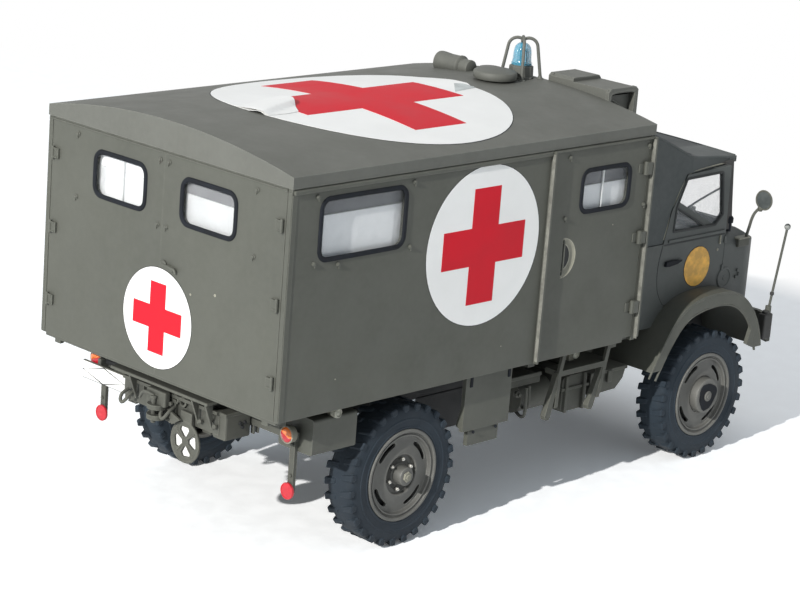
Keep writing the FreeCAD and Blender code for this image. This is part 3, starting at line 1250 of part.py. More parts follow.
def makeFrontGear():
    """Bumper with swept ends, marker poles on it, headlamps in the nose and round mirrors on bent arms."""
    front = frontX + number("front_overhang")
    half = number("fender_outer_y - bumper_inset")
    low = number("bumper_z")
    top = low + number("bumper_height")
    depth = number("bumper_depth")
    points = [(front, 4.0 - half), (front, half - 4.0), (front - 1.2, half), (front - 2.4, half),
              (front - 0.9, half - 4.4), (front - 0.9, 4.4 - half), (front - 2.4, -half),
              (front - 1.2, -half)]
    bar = prismZ(points, low, top)
    for z in (low, top - 0.6):
        flange = prismZ([(front - 0.5, -half + 4.4), (front - 0.5, half - 4.4), (front - depth, half - 4.6),
                         (front - depth, -half + 4.6)], z, z + 0.6)
        bar = bar.fuse(flange)
    ends = [cuboid(front, -2.8, -1.3, y - 0.7, y + 0.7, low + 0.4, top) for y in (half - 0.7, 0.7 - half)]
    horns = [cuboid(frontX, 18.1, number("front_overhang") - 0.5, y - 1.0, y + 1.0, 20.4, 24.0)
             for y in (9.6, -9.6)]
    bar = bar.multiFuse(horns + ends).cut(noseSolid(0)).removeSplitter()
    node("front_bumper", feature("frontBumper", bar))
    poles, mirrors, lamps = [], [], []
    skin = cowlSkin()
    for side in (1, -1):
        foot = vector(front - 1.9, side * (half - 0.7), top)
        base = Part.makeCylinder(0.6, 1.8, foot)
        tip = vector(front - 0.6, side * (half + 0.7), 43.1)
        whip = tube([(foot.x, foot.y, foot.z + 0.6), (tip.x, tip.y, tip.z)], 0.25)
        poles.append(base.multiFuse([whip, Part.makeSphere(0.6, tip)]))
        bends = [(12.4, 0.0, 40.8), (12.5, 1.0, 43.2), (12.6, 2.2, 46.6), (12.5, 3.4, 49.0)]
        arm = tube([(frontX + x, side * (doorPlane + y), z) for x, y, z in bends], 0.3)
        centre = vector(frontX + 12.3, side * (doorPlane + 3.7), 49.8)
        disc = Part.makeCylinder(1.85, 0.5, centre, vector(1, 0, 0))
        near, far = sorted((side * (doorPlane - 1.2), side * (doorPlane + 0.5)))
        mount = cuboid(frontX, 10.4, 14.0, near, far, 39.9, 41.5)
        mirrors.append(arm.multiFuse([disc, mount]).cut(noseSolid(0)))
        lampY = side * (doorPlane - 11.1)
        lamp = Part.makeCylinder(2.5, 1.6, vector(frontX + 20.1, lampY, 32.0), vector(1, 0, 0))
        bulge = Part.makeSphere(4.4).common(Part.makeBox(10, 10, 10, vector(3.62, -5, -5)))
        bulge.translate(vector(frontX + 18.08, lampY, 32.0))
        lamps.append(lamp.fuse(bulge).cut(noseSolid(0)).cut(skin))
    node("marker_poles", feature("markerPoles", Part.makeCompound(poles)))
    node("mirrors", feature("doorMirrors", Part.makeCompound(mirrors)))
    node("headlamps", feature("headLamps", Part.makeCompound(lamps)))


makeFrontGear()


# ---- check and write ----

doc.recompute()
for item in doc.Objects:
    bad = [word for word in item.State if word in ("Invalid", "Error")]
    if bad:
        raise RuntimeError(f"{item.Label} failed: {item.State}")
os.makedirs("parts", exist_ok=True)
for item in nodes:
    shape = item.Shape
    if shape.isNull() or not shape.isValid() or not shape.Solids:
        raise RuntimeError(f"{item.Label} has no valid solid")
    shape.exportStep(f"parts/{item.Label}.step")
    box = shape.BoundBox
    print(f"{item.Label}: {len(shape.Solids)} solids, x {box.XMin:.1f} to {box.XMax:.1f}, "
          f"y {box.YMin:.1f} to {box.YMax:.1f}, z {box.ZMin:.1f} to {box.ZMax:.1f}")
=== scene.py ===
import math
import random

import bmesh
import bpy
from mathutils import Matrix, Vector


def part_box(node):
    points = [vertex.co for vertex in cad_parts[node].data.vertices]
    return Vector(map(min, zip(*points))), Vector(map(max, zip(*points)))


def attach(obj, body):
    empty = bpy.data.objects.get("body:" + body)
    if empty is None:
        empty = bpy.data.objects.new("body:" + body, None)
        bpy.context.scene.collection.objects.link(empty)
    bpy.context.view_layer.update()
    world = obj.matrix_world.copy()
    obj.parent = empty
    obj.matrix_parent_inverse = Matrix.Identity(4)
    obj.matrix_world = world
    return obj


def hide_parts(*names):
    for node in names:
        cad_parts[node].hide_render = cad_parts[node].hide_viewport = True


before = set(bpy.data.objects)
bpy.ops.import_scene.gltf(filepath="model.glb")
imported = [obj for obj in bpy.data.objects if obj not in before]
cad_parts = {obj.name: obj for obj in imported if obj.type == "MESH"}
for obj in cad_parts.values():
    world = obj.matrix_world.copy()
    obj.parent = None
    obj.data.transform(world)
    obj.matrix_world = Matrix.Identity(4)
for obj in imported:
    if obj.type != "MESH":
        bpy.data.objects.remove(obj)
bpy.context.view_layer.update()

mm = 0.001
rearAxle = sum(corner[0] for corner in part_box("rear_left_tyre")) / 2 / mm
frontAxle = sum(corner[0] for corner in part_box("front_left_tyre")) / 2 / mm
tyreRadius = (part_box("rear_left_tyre")[1][2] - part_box("rear_left_tyre")[0][2]) / 2 / mm
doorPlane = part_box("cab_door_left")[1][1] / mm - 0.5  # outer face of the cab side
print("frame loaded, wheelbase", round(frontAxle - rearAxle, 2), "mm")


viewSettings = dict(place=(-0.34299, -0.31180, 0.15964), heading=43.194, dip=15.516, roll=4.526, lens=116.83)


def addCamera(s):
    heading, dip, roll = (math.radians(s[k]) for k in ("heading", "dip", "roll"))
    look = Vector((math.cos(dip) * math.cos(heading), math.cos(dip) * math.sin(heading), -math.sin(dip)))
    side = look.cross(Vector((0, 0, 1))).normalized()
    up = side.cross(look)
    right = side * math.cos(roll) + up * math.sin(roll)
    top = up * math.cos(roll) - side * math.sin(roll)
    data = bpy.data.cameras.new("viewCamera")
    data.lens = s["lens"]
    data.sensor_width = 36
    data.clip_start = 0.01
    cam = bpy.data.objects.new("viewCamera", data)
    bpy.context.collection.objects.link(cam)
    cam.matrix_world = Matrix((right, top, -look)).transposed().to_4x4()
    cam.location = s["place"]
    bpy.context.scene.camera = cam


addCamera(viewSettings)
bpy.context.scene.view_settings.view_transform = "Standard"

# a small hard key, low behind and a little to the right, a weak fill on the right and an even pale surround
lampSettings = dict(keyPlace=(-2.10, -0.36, 1.06), keySize=0.035, keyPower=70.0,
                    fillPlace=(-0.1, -0.75, 0.35), fillSize=0.5, fillPower=0.08, surround=0.37,
                    surroundColour=(0.83, 0.92, 1.0))


def addLamp(name, place, size, power, colour):
    data = bpy.data.lights.new(name, "AREA")
    data.shape = "DISK"
    data.size = size
    data.energy = power
    data.color = colour
    lamp = bpy.data.objects.new(name, data)
    lamp.location = place
    lamp.rotation_euler = (Vector((0, 0, 0.03)) - Vector(place)).to_track_quat("-Z", "Y").to_euler()
    bpy.context.collection.objects.link(lamp)


def joinNodes(tree, start, startSocket, end, endSocket):
    tree.links.new(start.outputs[startSocket], end.inputs[endSocket])


def addNode(tree, kind, **settings):
    made = tree.nodes.new("ShaderNode" + kind)
    for key, value in settings.items():
        if key in made.inputs:
            made.inputs[key].default_value = value
        else:
            setattr(made, key, value)
    return made


def cameraRays(tree):
    # 1 for rays that come from the eye, a mirror or glass
    rays = addNode(tree, "LightPath")
    total = addNode(tree, "Math", operation="ADD")
    joinNodes(tree, rays, "Is Camera Ray", total, 0)
    joinNodes(tree, rays, "Is Glossy Ray", total, 1)
    both = addNode(tree, "Math", operation="ADD", use_clamp=True)
    joinNodes(tree, total, 0, both, 0)
    joinNodes(tree, rays, "Is Transmission Ray", both, 1)
    return both


def makeSurround(s):
    world = bpy.data.worlds.new("studio")
    bpy.context.scene.world = world
    world.use_nodes = True
    tree = world.node_tree
    glow = tree.nodes["Background"]
    glow.inputs["Color"].default_value = (*s["surroundColour"], 1)
    glow.inputs["Strength"].default_value = s["surround"]
    white = addNode(tree, "Background", Color=(1, 1, 1, 1), Strength=1.0)
    mix = addNode(tree, "MixShader")
    joinNodes(tree, cameraRays(tree), 0, mix, 0)
    joinNodes(tree, glow, 0, mix, 1)
    joinNodes(tree, white, 0, mix, 2)
    joinNodes(tree, mix, 0, tree.nodes["World Output"], 0)


def freshStart():
    active = bpy.context.view_layer.objects.active
    if active and active.mode != "OBJECT":
        bpy.ops.object.mode_set(mode="OBJECT")
    bpy.ops.object.select_all(action="DESELECT")


def pick(*pieces):
    freshStart()
    for piece in pieces:
        piece.select_set(True)
    bpy.context.view_layer.objects.active = pieces[0]


def named(name):
    piece = bpy.context.object
    piece.name = name
    piece.data.name = name
    return piece


def settle(piece):
    # leaves the place, turn and size in the mesh and the object at the origin
    pick(piece)
    bpy.ops.object.transform_apply(location=True, rotation=True, scale=True)
    return piece


def editPiece(piece, mode="FACE"):
    pick(piece)
    bpy.ops.object.mode_set(mode="EDIT")
    bpy.ops.mesh.select_mode(type=mode)
    bpy.ops.mesh.select_all(action="DESELECT")


def selectAll():
    bpy.ops.mesh.select_all(action="SELECT")


def faceOutwards():
    selectAll()
    bpy.ops.mesh.normals_make_consistent(inside=False)


def selectFaces(piece, test):
    mesh = bmesh.from_edit_mesh(piece.data)
    for face in mesh.faces:
        face.select_set(bool(test(face.calc_center_median() / mm, face.normal)))
    bmesh.update_edit_mesh(piece.data)


def leaveEdit(piece):
    if piece.mode == "EDIT":
        bpy.ops.object.mode_set(mode="OBJECT")
    return piece


def smooth(piece, angle=35):
    pick(piece)
    bpy.ops.object.shade_smooth_by_angle(angle=math.radians(angle))
    return piece


def useModifier(piece, kind, **settings):
    pick(piece)
    bpy.ops.object.modifier_add(type=kind)
    modifier = piece.modifiers[-1]
    for key, value in settings.items():
        setattr(modifier, key, value)
    bpy.ops.object.modifier_apply(modifier=modifier.name)
    return piece


def bevelEdges(piece, width, rounds=1, angle=50):
    # rounds only the edges that turn more sharply than the angle
    return useModifier(piece, "BEVEL", width=width * mm, segments=rounds, limit_method="ANGLE",
                       angle_limit=math.radians(angle))


def cutOut(piece, cutter):
    useModifier(piece, "BOOLEAN", object=cutter, operation="DIFFERENCE", solver="EXACT")
    discard(cutter)


def discard(*scraps):
    pick(*scraps)
    bpy.ops.object.delete()


def block(name, low, high, bevel=0.1, rounds=1):
    # a bevelled block between two corners, in mm
    freshStart()
    low, high = Vector(low) * mm, Vector(high) * mm
    bpy.ops.mesh.primitive_cube_add(size=1, location=(low + high) / 2)
    piece = named(name)
    piece.scale = high - low
    settle(piece)
    if bevel:
        editPiece(piece)
        selectAll()
        bpy.ops.mesh.bevel(offset=bevel * mm, segments=rounds, affect="EDGES")
        leaveEdit(piece)
    return piece


turnedTo = {"z": (0, 0, 0), "y": (-math.pi / 2, 0, 0), "-y": (math.pi / 2, 0, 0), "x": (0, math.pi / 2, 0),
            "-x": (0, -math.pi / 2, 0), "-z": (math.pi, 0, 0)}


def turned(name, place, axis, rings, steps=24, loop=False, angle=35):
    # a turned shape: one circle extruded and scaled ring by ring, each ring (radius, height) in mm
    freshStart()
    radius, height = rings[0]
    bpy.ops.mesh.primitive_circle_add(vertices=steps, radius=radius * mm, location=(0, 0, height * mm))
    piece = named(name)
    settle(piece)
    editPiece(piece, "EDGE")
    selectAll()
    for (r0, h0), (r1, h1) in zip(rings, rings[1:]):
        bpy.ops.mesh.extrude_region_move(TRANSFORM_OT_translate={"value": (0, 0, (h1 - h0) * mm)})
        if r1 == 0:
            bpy.ops.mesh.merge(type="CENTER")
        elif r1 != r0:
            bpy.ops.transform.resize(value=(r1 / r0, r1 / r0, 1), center_override=(0, 0, 0))
    selectAll()
    bpy.ops.mesh.remove_doubles(threshold=0.002 * mm)
    if not loop:
        bpy.ops.mesh.select_all(action="DESELECT")
        bpy.ops.mesh.select_non_manifold()
        bpy.ops.mesh.fill_holes(sides=0)
    faceOutwards()
    leaveEdit(piece)
    piece.rotation_euler = turnedTo[axis] if isinstance(axis, str) else axis
    piece.location = Vector(place) * mm
    settle(piece)
    return smooth(piece, angle)


def outlinePlate(name, points, depth, plane="xz", place=0.0, bevel=0.0):
    # a flat outline given its thickness: a filled circle whose corners are moved to the outline
    freshStart()
    bpy.ops.mesh.primitive_circle_add(vertices=len(points), radius=mm, fill_type="NGON")
    piece = named(name)
    axes = {"xz": (0, 2, 1), "yz": (1, 2, 0), "xy": (0, 1, 2)}[plane]
    for corner, (u, w) in zip(piece.data.vertices, points):
        spot = [0, 0, 0]
        spot[axes[0]], spot[axes[1]], spot[axes[2]] = u * mm, w * mm, place * mm
        corner.co = spot
    editPiece(piece)
    selectAll()
    push = [0, 0, 0]
    push[axes[2]] = depth * mm
    bpy.ops.mesh.duplicate()
    bpy.ops.mesh.select_all(action="DESELECT")
    mesh = bmesh.from_edit_mesh(piece.data)
    mesh.faces.ensure_lookup_table()
    mesh.faces[-1].select_set(True)
    bpy.ops.transform.translate(value=push)
    selectAll()
    bpy.ops.mesh.bridge_edge_loops()
    faceOutwards()
    leaveEdit(piece)
    if bevel:
        bevelEdges(piece, bevel, 2, 40)
    return piece


def wireRod(name, points, radius, steps=4, closed=False):
    # a round rod that follows a smooth line through its guide points, in mm
    freshStart()
    data = bpy.data.curves.new(name, "CURVE")
    data.dimensions = "3D"
    line = data.splines.new("NURBS")
    line.points.add(len(points) - 1)
    for knot, point in zip(line.points, points):
        knot.co = (*(Vector(point) * mm), 1)
    line.order_u = 3
    line.use_endpoint_u = not closed
    line.use_cyclic_u = closed
    line.resolution_u = steps
    data.bevel_depth = radius * mm
    data.bevel_resolution = 2
    data.use_fill_caps = True
    piece = bpy.data.objects.new(name, data)
    bpy.context.collection.objects.link(piece)
    pick(piece)
    bpy.ops.object.convert(target="MESH")
    return smooth(piece, 40)


def onTruck(u, y, z):
    # u is counted forward from the rear axle, as everywhere below
    return (rearAxle + u, y, z)


def truckRod(name, points, radius, steps=4, closed=False):
    return wireRod(name, [onTruck(*point) for point in points], radius, steps, closed)


def truckBlock(name, low, high, bevel=0.08, rounds=1):
    return block(name, onTruck(*low), onTruck(*high), bevel, rounds)


def fused(name, pieces):
    pick(*pieces)
    bpy.ops.object.join()
    return named(name)


def copyOf(piece, name=None):
    pick(piece)
    bpy.ops.object.duplicate(linked=False)
    return named(name or piece.name + "Copy")


def shifted(piece, step, name=None):
    made = copyOf(piece, name)
    bpy.ops.transform.translate(value=Vector(step) * mm)
    return settle(made)


def mirrored(piece, name):
    made = copyOf(piece, name)
    made.scale = (1, -1, 1)
    settle(made)
    editPiece(made)
    faceOutwards()
    return leaveEdit(made)


def ringOf(name, piece, count, centre, axis="Y"):
    # the piece and its copies round a centre, as one piece
    made = [piece]
    for step in range(1, count):
        pick(piece)
        bpy.ops.object.duplicate(linked=False)
        bpy.ops.transform.rotate(value=2 * math.pi * step / count, orient_axis=axis,
                                 center_override=Vector(centre) * mm)
        made.append(bpy.context.object)
    return settle(fused(name, made))


pieces = []


def finish(piece, material, body="truck", replaces=None):
    piece.data.materials.clear()
    piece.data.materials.append(material)
    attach(piece, body)
    if replaces:
        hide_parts(*replaces)
    pieces.append(piece)
    return piece


makeSurround(lampSettings)
addLamp("keyLamp", lampSettings["keyPlace"], lampSettings["keySize"], lampSettings["keyPower"],
        (1, 0.98, 0.94))
addLamp("fillLamp", lampSettings["fillPlace"], lampSettings["fillSize"], lampSettings["fillPower"],
        (0.9, 0.95, 1))


def newMaterial(name):
    material = bpy.data.materials.new(name)
    material.use_nodes = True
    tree = material.node_tree
    return material, tree, tree.nodes["Principled BSDF"]


def ramp(tree, source, socket, stops):
    made = addNode(tree, "ValToRGB")
    for index, (place, value) in enumerate(stops):
        stop = made.color_ramp.elements[index] if index < 2 else made.color_ramp.elements.new(place)
        stop.position = place
        stop.color = (*value, 1) if isinstance(value, tuple) else (value, value, value, 1)
    joinNodes(tree, source, socket, made, 0)
    return made


def mixColours(tree, first, second, amount, kind="MIX"):
    # amount is a number or a (node, socket) pair; first and second are colours or (node, socket) pairs
    made = addNode(tree, "Mix", data_type="RGBA", blend_type=kind)
    for spot, value in ((0, amount), (6, first), (7, second)):
        if isinstance(value, tuple) and isinstance(value[0], bpy.types.Node):
            joinNodes(tree, *value, made, spot)
        else:
            made.inputs[spot].default_value = (*value, 1) if isinstance(value, tuple) else value
    return (made, 2)


def patches(tree, scale, detail=3, rough=0.55):
    spots = addNode(tree, "TexCoord")
    made = addNode(tree, "TexNoise", Scale=scale, Detail=detail, Roughness=rough)
    joinNodes(tree, spots, "Object", made, "Vector")
    return made


def edgeMask(tree, width):
    # bright where the surface turns sharply: the true normal against a rounded one
    rounded = addNode(tree, "Bevel", samples=4, Radius=width)
    flat = addNode(tree, "NewGeometry")
    match = addNode(tree, "VectorMath", operation="DOT_PRODUCT")
    joinNodes(tree, rounded, "Normal", match, 0)
    joinNodes(tree, flat, "Normal", match, 1)
    return ramp(tree, match, "Value", [(0.80, 1.0), (0.985, 0.0)])


def paintFinish(name, colour, light, dark, roughness=0.62, grain=0.05, edge=0.35, cornerShade=0.35):
    # sprayed matt paint: slow changes of tone, fine grain, dry-brushed edges and painted shade in the corners
    material, tree, shader = newMaterial(name)
    slow = ramp(tree, patches(tree, 34, 4), 0, [(0.35, 0.0), (0.68, 1.0)])
    base = mixColours(tree, dark, light, (slow, 0))
    fine = ramp(tree, patches(tree, 900, 2), 0, [(0.3, 0.0), (0.75, 1.0)])
    base = mixColours(tree, base, colour, 0.55)
    base = mixColours(tree, base, tuple(c * 1.12 for c in light),
                      (ramp(tree, fine, 0, [(0.0, 0.0), (1.0, 0.22)]), 0))
    if cornerShade:
        # painted shade: ambient occlusion darkens the paint in corners and creases
        corner = addNode(tree, "AmbientOcclusion", samples=6, Distance=3.5 * mm)
        cornerShadeMask = ramp(tree, corner, "AO", [(0.35, cornerShade), (0.95, 0.0)])
        base = mixColours(tree, base, tuple(c * 0.35 for c in dark), (cornerShadeMask, 0))
    if edge:
        worn = edgeMask(tree, 0.28 * mm)
        broken = ramp(tree, patches(tree, 420, 3), 0, [(0.38, 0.15), (0.6, edge)])
        amount = addNode(tree, "Math", operation="MULTIPLY")
        joinNodes(tree, worn, 0, amount, 0)
        joinNodes(tree, broken, 0, amount, 1)
        base = mixColours(tree, base, tuple(min(1.0, c * 2.1 + 0.02) for c in light), (amount, 0))
    joinNodes(tree, *base, shader, "Base Color")
    sheen = ramp(tree, patches(tree, 160, 3), 0, [(0.3, roughness - 0.07), (0.7, roughness + 0.07)])
    joinNodes(tree, sheen, 0, shader, "Roughness")
    if grain:
        bumps = addNode(tree, "Bump", Strength=grain * 4, Distance=0.05 * mm)
        joinNodes(tree, patches(tree, 2600, 2), 0, bumps, "Height")
        joinNodes(tree, bumps, "Normal", shader, "Normal")
    return material


def plainPlastic(name, colour, roughness, vary=0.08, scale=300, bump=0.1, coat=0.0):
    material, tree, shader = newMaterial(name)
    mottle = patches(tree, scale, 3)
    base = mixColours(tree, tuple(c * (1 - vary) for c in colour),
                      tuple(min(1.0, c * (1 + vary)) for c in colour),
                      (ramp(tree, mottle, 0, [(0.35, 0.0), (0.65, 1.0)]), 0))
    joinNodes(tree, *base, shader, "Base Color")
    sheen = ramp(tree, mottle, 0, [(0.3, max(roughness - 0.06, 0.02)), (0.7, roughness + 0.06)])
    joinNodes(tree, sheen, 0, shader, "Roughness")
    shader.inputs["Coat Weight"].default_value = coat
    if bump:
        bumps = addNode(tree, "Bump", Strength=bump, Distance=0.04 * mm)
        joinNodes(tree, patches(tree, scale * 6, 2), 0, bumps, "Height")
        joinNodes(tree, bumps, "Normal", shader, "Normal")
    return material


def clearPlastic(name, colour, roughness, alpha, tint=0.0):
    material, tree, shader = newMaterial(name)
    haze = patches(tree, 220, 4, 0.7)
    shader.inputs["Base Color"].default_value = (*colour, 1)
    joinNodes(tree, ramp(tree, haze, 0, [(0.35, roughness), (0.75, roughness + 0.12)]), 0, shader,
              "Roughness")
    joinNodes(tree, ramp(tree, haze, 0, [(0.4, alpha), (0.8, alpha + 0.08)]), 0, shader, "Alpha")
    shader.inputs["IOR"].default_value = 1.5
    shader.inputs["Transmission Weight"].default_value = tint
    return material


oliveTones = dict(body=(0.076, 0.079, 0.066), light=(0.093, 0.096, 0.080), dark=(0.060, 0.063, 0.053))
olivePaint = paintFinish("olivePaint", oliveTones["body"], oliveTones["light"], oliveTones["dark"])
# a lighter copy of the olive wall paint: painted light on the sky-lit roof and the gear on it
roofPaint = paintFinish("roofPaint", (0.108, 0.111, 0.098), (0.134, 0.137, 0.122), (0.086, 0.089, 0.079),
                        0.66, edge=0.4)
canvasPaint = paintFinish("canvasPaint", (0.056, 0.065, 0.065), (0.088, 0.096, 0.092), (0.037, 0.044, 0.047),
                          0.72, grain=0.16, edge=0.3)
# a darker, bluer copy of the olive for the cab: painted shade, added to the box's cast shadow on it
cabPaint = paintFinish("cabPaint", (0.062, 0.069, 0.066), (0.076, 0.084, 0.081), (0.049, 0.055, 0.053))
framePaint = paintFinish("framePaint", (0.070, 0.072, 0.060), (0.100, 0.101, 0.084), (0.044, 0.047, 0.042),
                         0.7, edge=0.55, cornerShade=0.6)
rimPaint = paintFinish("rimPaint", (0.112, 0.112, 0.102), (0.152, 0.150, 0.138), (0.080, 0.080, 0.075), 0.58,
                       edge=0.75, cornerShade=0.65)
bareEdge = paintFinish("bareEdge", (0.23, 0.225, 0.18), (0.30, 0.29, 0.235), (0.15, 0.147, 0.118), 0.6,
                       edge=0.5, cornerShade=0.25)
tyreRubber = paintFinish("tyreRubber", (0.0070, 0.0140, 0.0225), (0.013, 0.0250, 0.038),
                         (0.004, 0.008, 0.0135), 0.8, grain=0.2, edge=0.4, cornerShade=0.5)
sealRubber = plainPlastic("sealRubber", (0.010, 0.012, 0.016), 0.75, 0.3)
sealRubber.node_tree.nodes["Principled BSDF"].inputs["Specular IOR Level"].default_value = 0.2
# grey for the boards behind the upper panes: painted shade of the dark inside
boardGrey = plainPlastic("boardGrey", (0.050, 0.050, 0.060), 0.7, 0.1, 200)
clearPane = clearPlastic("clearPane", (0.92, 0.95, 0.97), 0.05, 0.09)
blueLens = clearPlastic("blueLens", (0.10, 0.50, 0.74), 0.08, 0.55, 0.3)
blindWhite = plainPlastic("blindWhite", (0.80, 0.81, 0.82), 0.6, 0.03, 120)
decalWhite = plainPlastic("decalWhite", (0.89, 0.89, 0.88), 0.42, 0.03, 90, 0.15)
decalRed = plainPlastic("decalRed", (0.62, 0.008, 0.022), 0.6, 0.06, 90, 0.15)
decalRed.node_tree.nodes["Principled BSDF"].inputs["Specular IOR Level"].default_value = 0.25
discYellow = plainPlastic("discYellow", (0.84, 0.45, 0.075), 0.5, 0.24, 520, 0.4)
lampOrange = plainPlastic("lampOrange", (0.75, 0.17, 0.03), 0.3, 0.1, 600, 0.25, 0.3)
lampRed = plainPlastic("lampRed", (0.42, 0.012, 0.024), 0.3, 0.1, 600, 0.25, 0.3)
reflectorRed = plainPlastic("reflectorRed", (0.50, 0.02, 0.032), 0.45, 0.12, 1500, 0.5, 0.1)
lampDull = plainPlastic("lampDull", (0.36, 0.36, 0.30), 0.35, 0.3, 1400, 0.4)
lampClear = plainPlastic("lampClear", (0.62, 0.64, 0.64), 0.18, 0.08, 900, 0.3, 0.6)
innerGrey = paintFinish("innerGrey", (0.27, 0.28, 0.27), (0.34, 0.35, 0.34), (0.21, 0.22, 0.21), 0.6,
                        edge=0.3)
seatBlack = paintFinish("seatBlack", (0.022, 0.022, 0.021), (0.035, 0.035, 0.034), (0.014, 0.014, 0.014), 0.6,
                        grain=0.15, edge=0.4)
steelBright = plainPlastic("steelBright", (0.62, 0.61, 0.57), 0.3, 0.12, 900)
steelBright.node_tree.nodes["Principled BSDF"].inputs["Metallic"].default_value = 0.85
mirrorGrey = plainPlastic("mirrorGrey", (0.075, 0.085, 0.085), 0.4, 0.15, 500)
jointDark = plainPlastic("jointDark", (0.026, 0.029, 0.029), 0.75, 0.2)
# a lighter paint for faces turned to the key: painted light
wornPaint = plainPlastic("wornPaint", (0.165, 0.165, 0.145), 0.6, 0.25, 700)
# grey for the shaded face of a fold in the roof film: painted shade
foldGrey = plainPlastic("foldGrey", (0.50, 0.53, 0.53), 0.6, 0.2, 400)
# dark wash round the rear hubs, partly painted shade of the recess
washDark = plainPlastic("washDark", (0.035, 0.035, 0.032), 0.7, 0.4, 500)
# near-black: painted shade in the handle pocket, the plate slot, inside the wheels and under the body, and
# the rail box's dark bolts
darkHole = plainPlastic("darkHole", (0.01, 0.011, 0.012), 0.7, 0.2)

nodeFinishes = {
    # the roof and its gear take the lighter copy of the olive, painted light
    roofPaint: ["box_roof", "roof_duct", "roof_vents", "beacon_base", "beacon_guard"],
    canvasPaint: ["canvas_top"],
    cabPaint: ["cab_cowl", "cab_door_left", "cab_door_right", "cab_tub", "screen_frame"],
    framePaint: ["chassis_frame", "front_axle", "rear_axle", "coil_springs", "engine_block", "transmission",
                 "fuel_tank", "tool_locker", "air_tank", "exhaust", "tow_coupling", "rear_step", "lamp_bars",
                 "side_step", "box_floor", "front_bumper"],
    clearPane: ["box_windows", "cab_glass"],
    blueLens: ["beacon_dome"],
    blindWhite: ["window_blinds"],
    lampRed: ["rear_lamps"],
    reflectorRed: ["reflectors"],
    lampClear: ["headlamps"],
    seatBlack: ["cab_seats", "steering_wheel"],
    innerGrey: ["dashboard"],
}
for name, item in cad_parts.items():
    if item.type != "MESH":
        continue
    material = next((m for m, names in nodeFinishes.items() if name in names), olivePaint)
    if name.endswith("_tyre"):
        material = tyreRubber
    elif name.endswith("_rim"):
        material = rimPaint
    for holder in item.material_slots:
        holder.material = material
print("finishes on", len(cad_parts), "frame nodes")


# all in mm from the wheel's middle, with Y pointing out of the truck; lugs counts one side of the tread
tyreShape = dict(steps=84, half=3.1, crown=12.36, lugs=27, lugWidth=1.42, lugTop=12.66, lugFoot=11.25,
                 lugOuter=3.2, lugInner=0.5, lean=0.32)
rimShape = dict(steps=60, slots=4, slotInner=5.48, slotOuter=6.24, slotTurn=22, nuts=6, nutCircle=2.68,
                nutSize=0.36, disc=2.45, turnedBy=-38)
wheelNames = ["front_left", "front_right", "rear_left", "rear_right"]


def wheelCentre(name):
    low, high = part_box(name + "_tyre")
    return (Vector(low) + Vector(high)) / 2


def makeLug(s):
    # a block across the shoulder, leaning along the tread, and its foot on the sidewall
    top = block("tyreLug", (-s["lugWidth"] / 2, s["lugInner"], s["crown"] - 0.9),
                (s["lugWidth"] / 2, s["lugOuter"], s["lugTop"]), 0)
    editPiece(top)
    selectFaces(top, lambda at, normal: normal.y > 0.9)
    bpy.ops.transform.translate(value=(-s["lean"] * mm, 0, 0))
    selectFaces(top, lambda at, normal: normal.y < -0.9)
    bpy.ops.transform.resize(value=(0.75, 1, 1))
    bpy.ops.transform.translate(value=(s["lean"] * mm, 0, -0.12 * mm))
    leaveEdit(top)
    foot = block("lugFoot", (-s["lugWidth"] / 2 - 0.1, 2.6, s["lugFoot"]),
                 (s["lugWidth"] / 2 - 0.42, s["lugOuter"] - 0.05, s["crown"]), 0)
    editPiece(foot)
    selectFaces(foot, lambda at, normal: normal.z < -0.9)
    bpy.ops.transform.resize(value=(0.8, 1, 1))
    leaveEdit(foot)
    lug = fused("tyreLug", [top, foot])
    return bevelEdges(lug, 0.2)


def makeTyreMesh(s):
    # the carcass: bead, a sidewall with two raised rings, shoulder and crown, and back along the other side
    side = [(7.66, 2.7), (8.16, 2.76), (8.24, 3.0), (8.4, 3.12), (8.66, 3.14), (8.74, 3.05), (9.8, 3.12),
            (9.88, 3.18), (10.1, 3.18), (10.2, 3.1), (10.9, 3.08), (11.3, 3.0), (11.7, 2.9), (11.98, 2.68),
            (12.18, 2.3), (s["crown"] - 0.06, 1.8), (s["crown"], 0.9)]
    rings = side + [(radius, -height) for radius, height in reversed(side)] + [side[0]]
    tyre = turned("tyreBody", (0, 0, 0), "y", rings, s["steps"], loop=True, angle=40)
    lugs = ringOf("tyreLugs", makeLug(s), s["lugs"], (0, 0, 0))
    # the other side's lugs are the same, half a step further on
    others = copyOf(lugs, "tyreLugsInner")
    bpy.ops.transform.rotate(value=math.pi, orient_axis="Z", center_override=(0, 0, 0))
    bpy.ops.transform.rotate(value=math.pi / s["lugs"], orient_axis="Y", center_override=(0, 0, 0))
    settle(others)
    return smooth(fused("tyreMesh", [tyre, lugs, others]), 30)


def cutSlots(rim, s):
    # the curved slots near the edge of the disc
    outline = []
    for radius, direction in ((s["slotOuter"], 1), (s["slotInner"], -1)):
        for step in range(9):
            turn = math.radians(s["slotTurn"] * (step - 4) / 4 * direction)
            narrow = 0.16 * (abs(step - 4) == 4) * (1 if direction > 0 else -1)
            outline.append(((radius - narrow) * math.cos(turn), (radius - narrow) * math.sin(turn)))
    cutter = ringOf("slotCutter", outlinePlate("slotCutter", outline, 2.6, "xz", s["disc"] - 1.3), s["slots"],
                    (0, 0, 0))
    cutOut(rim, cutter)
    return bevelEdges(rim, 0.06)


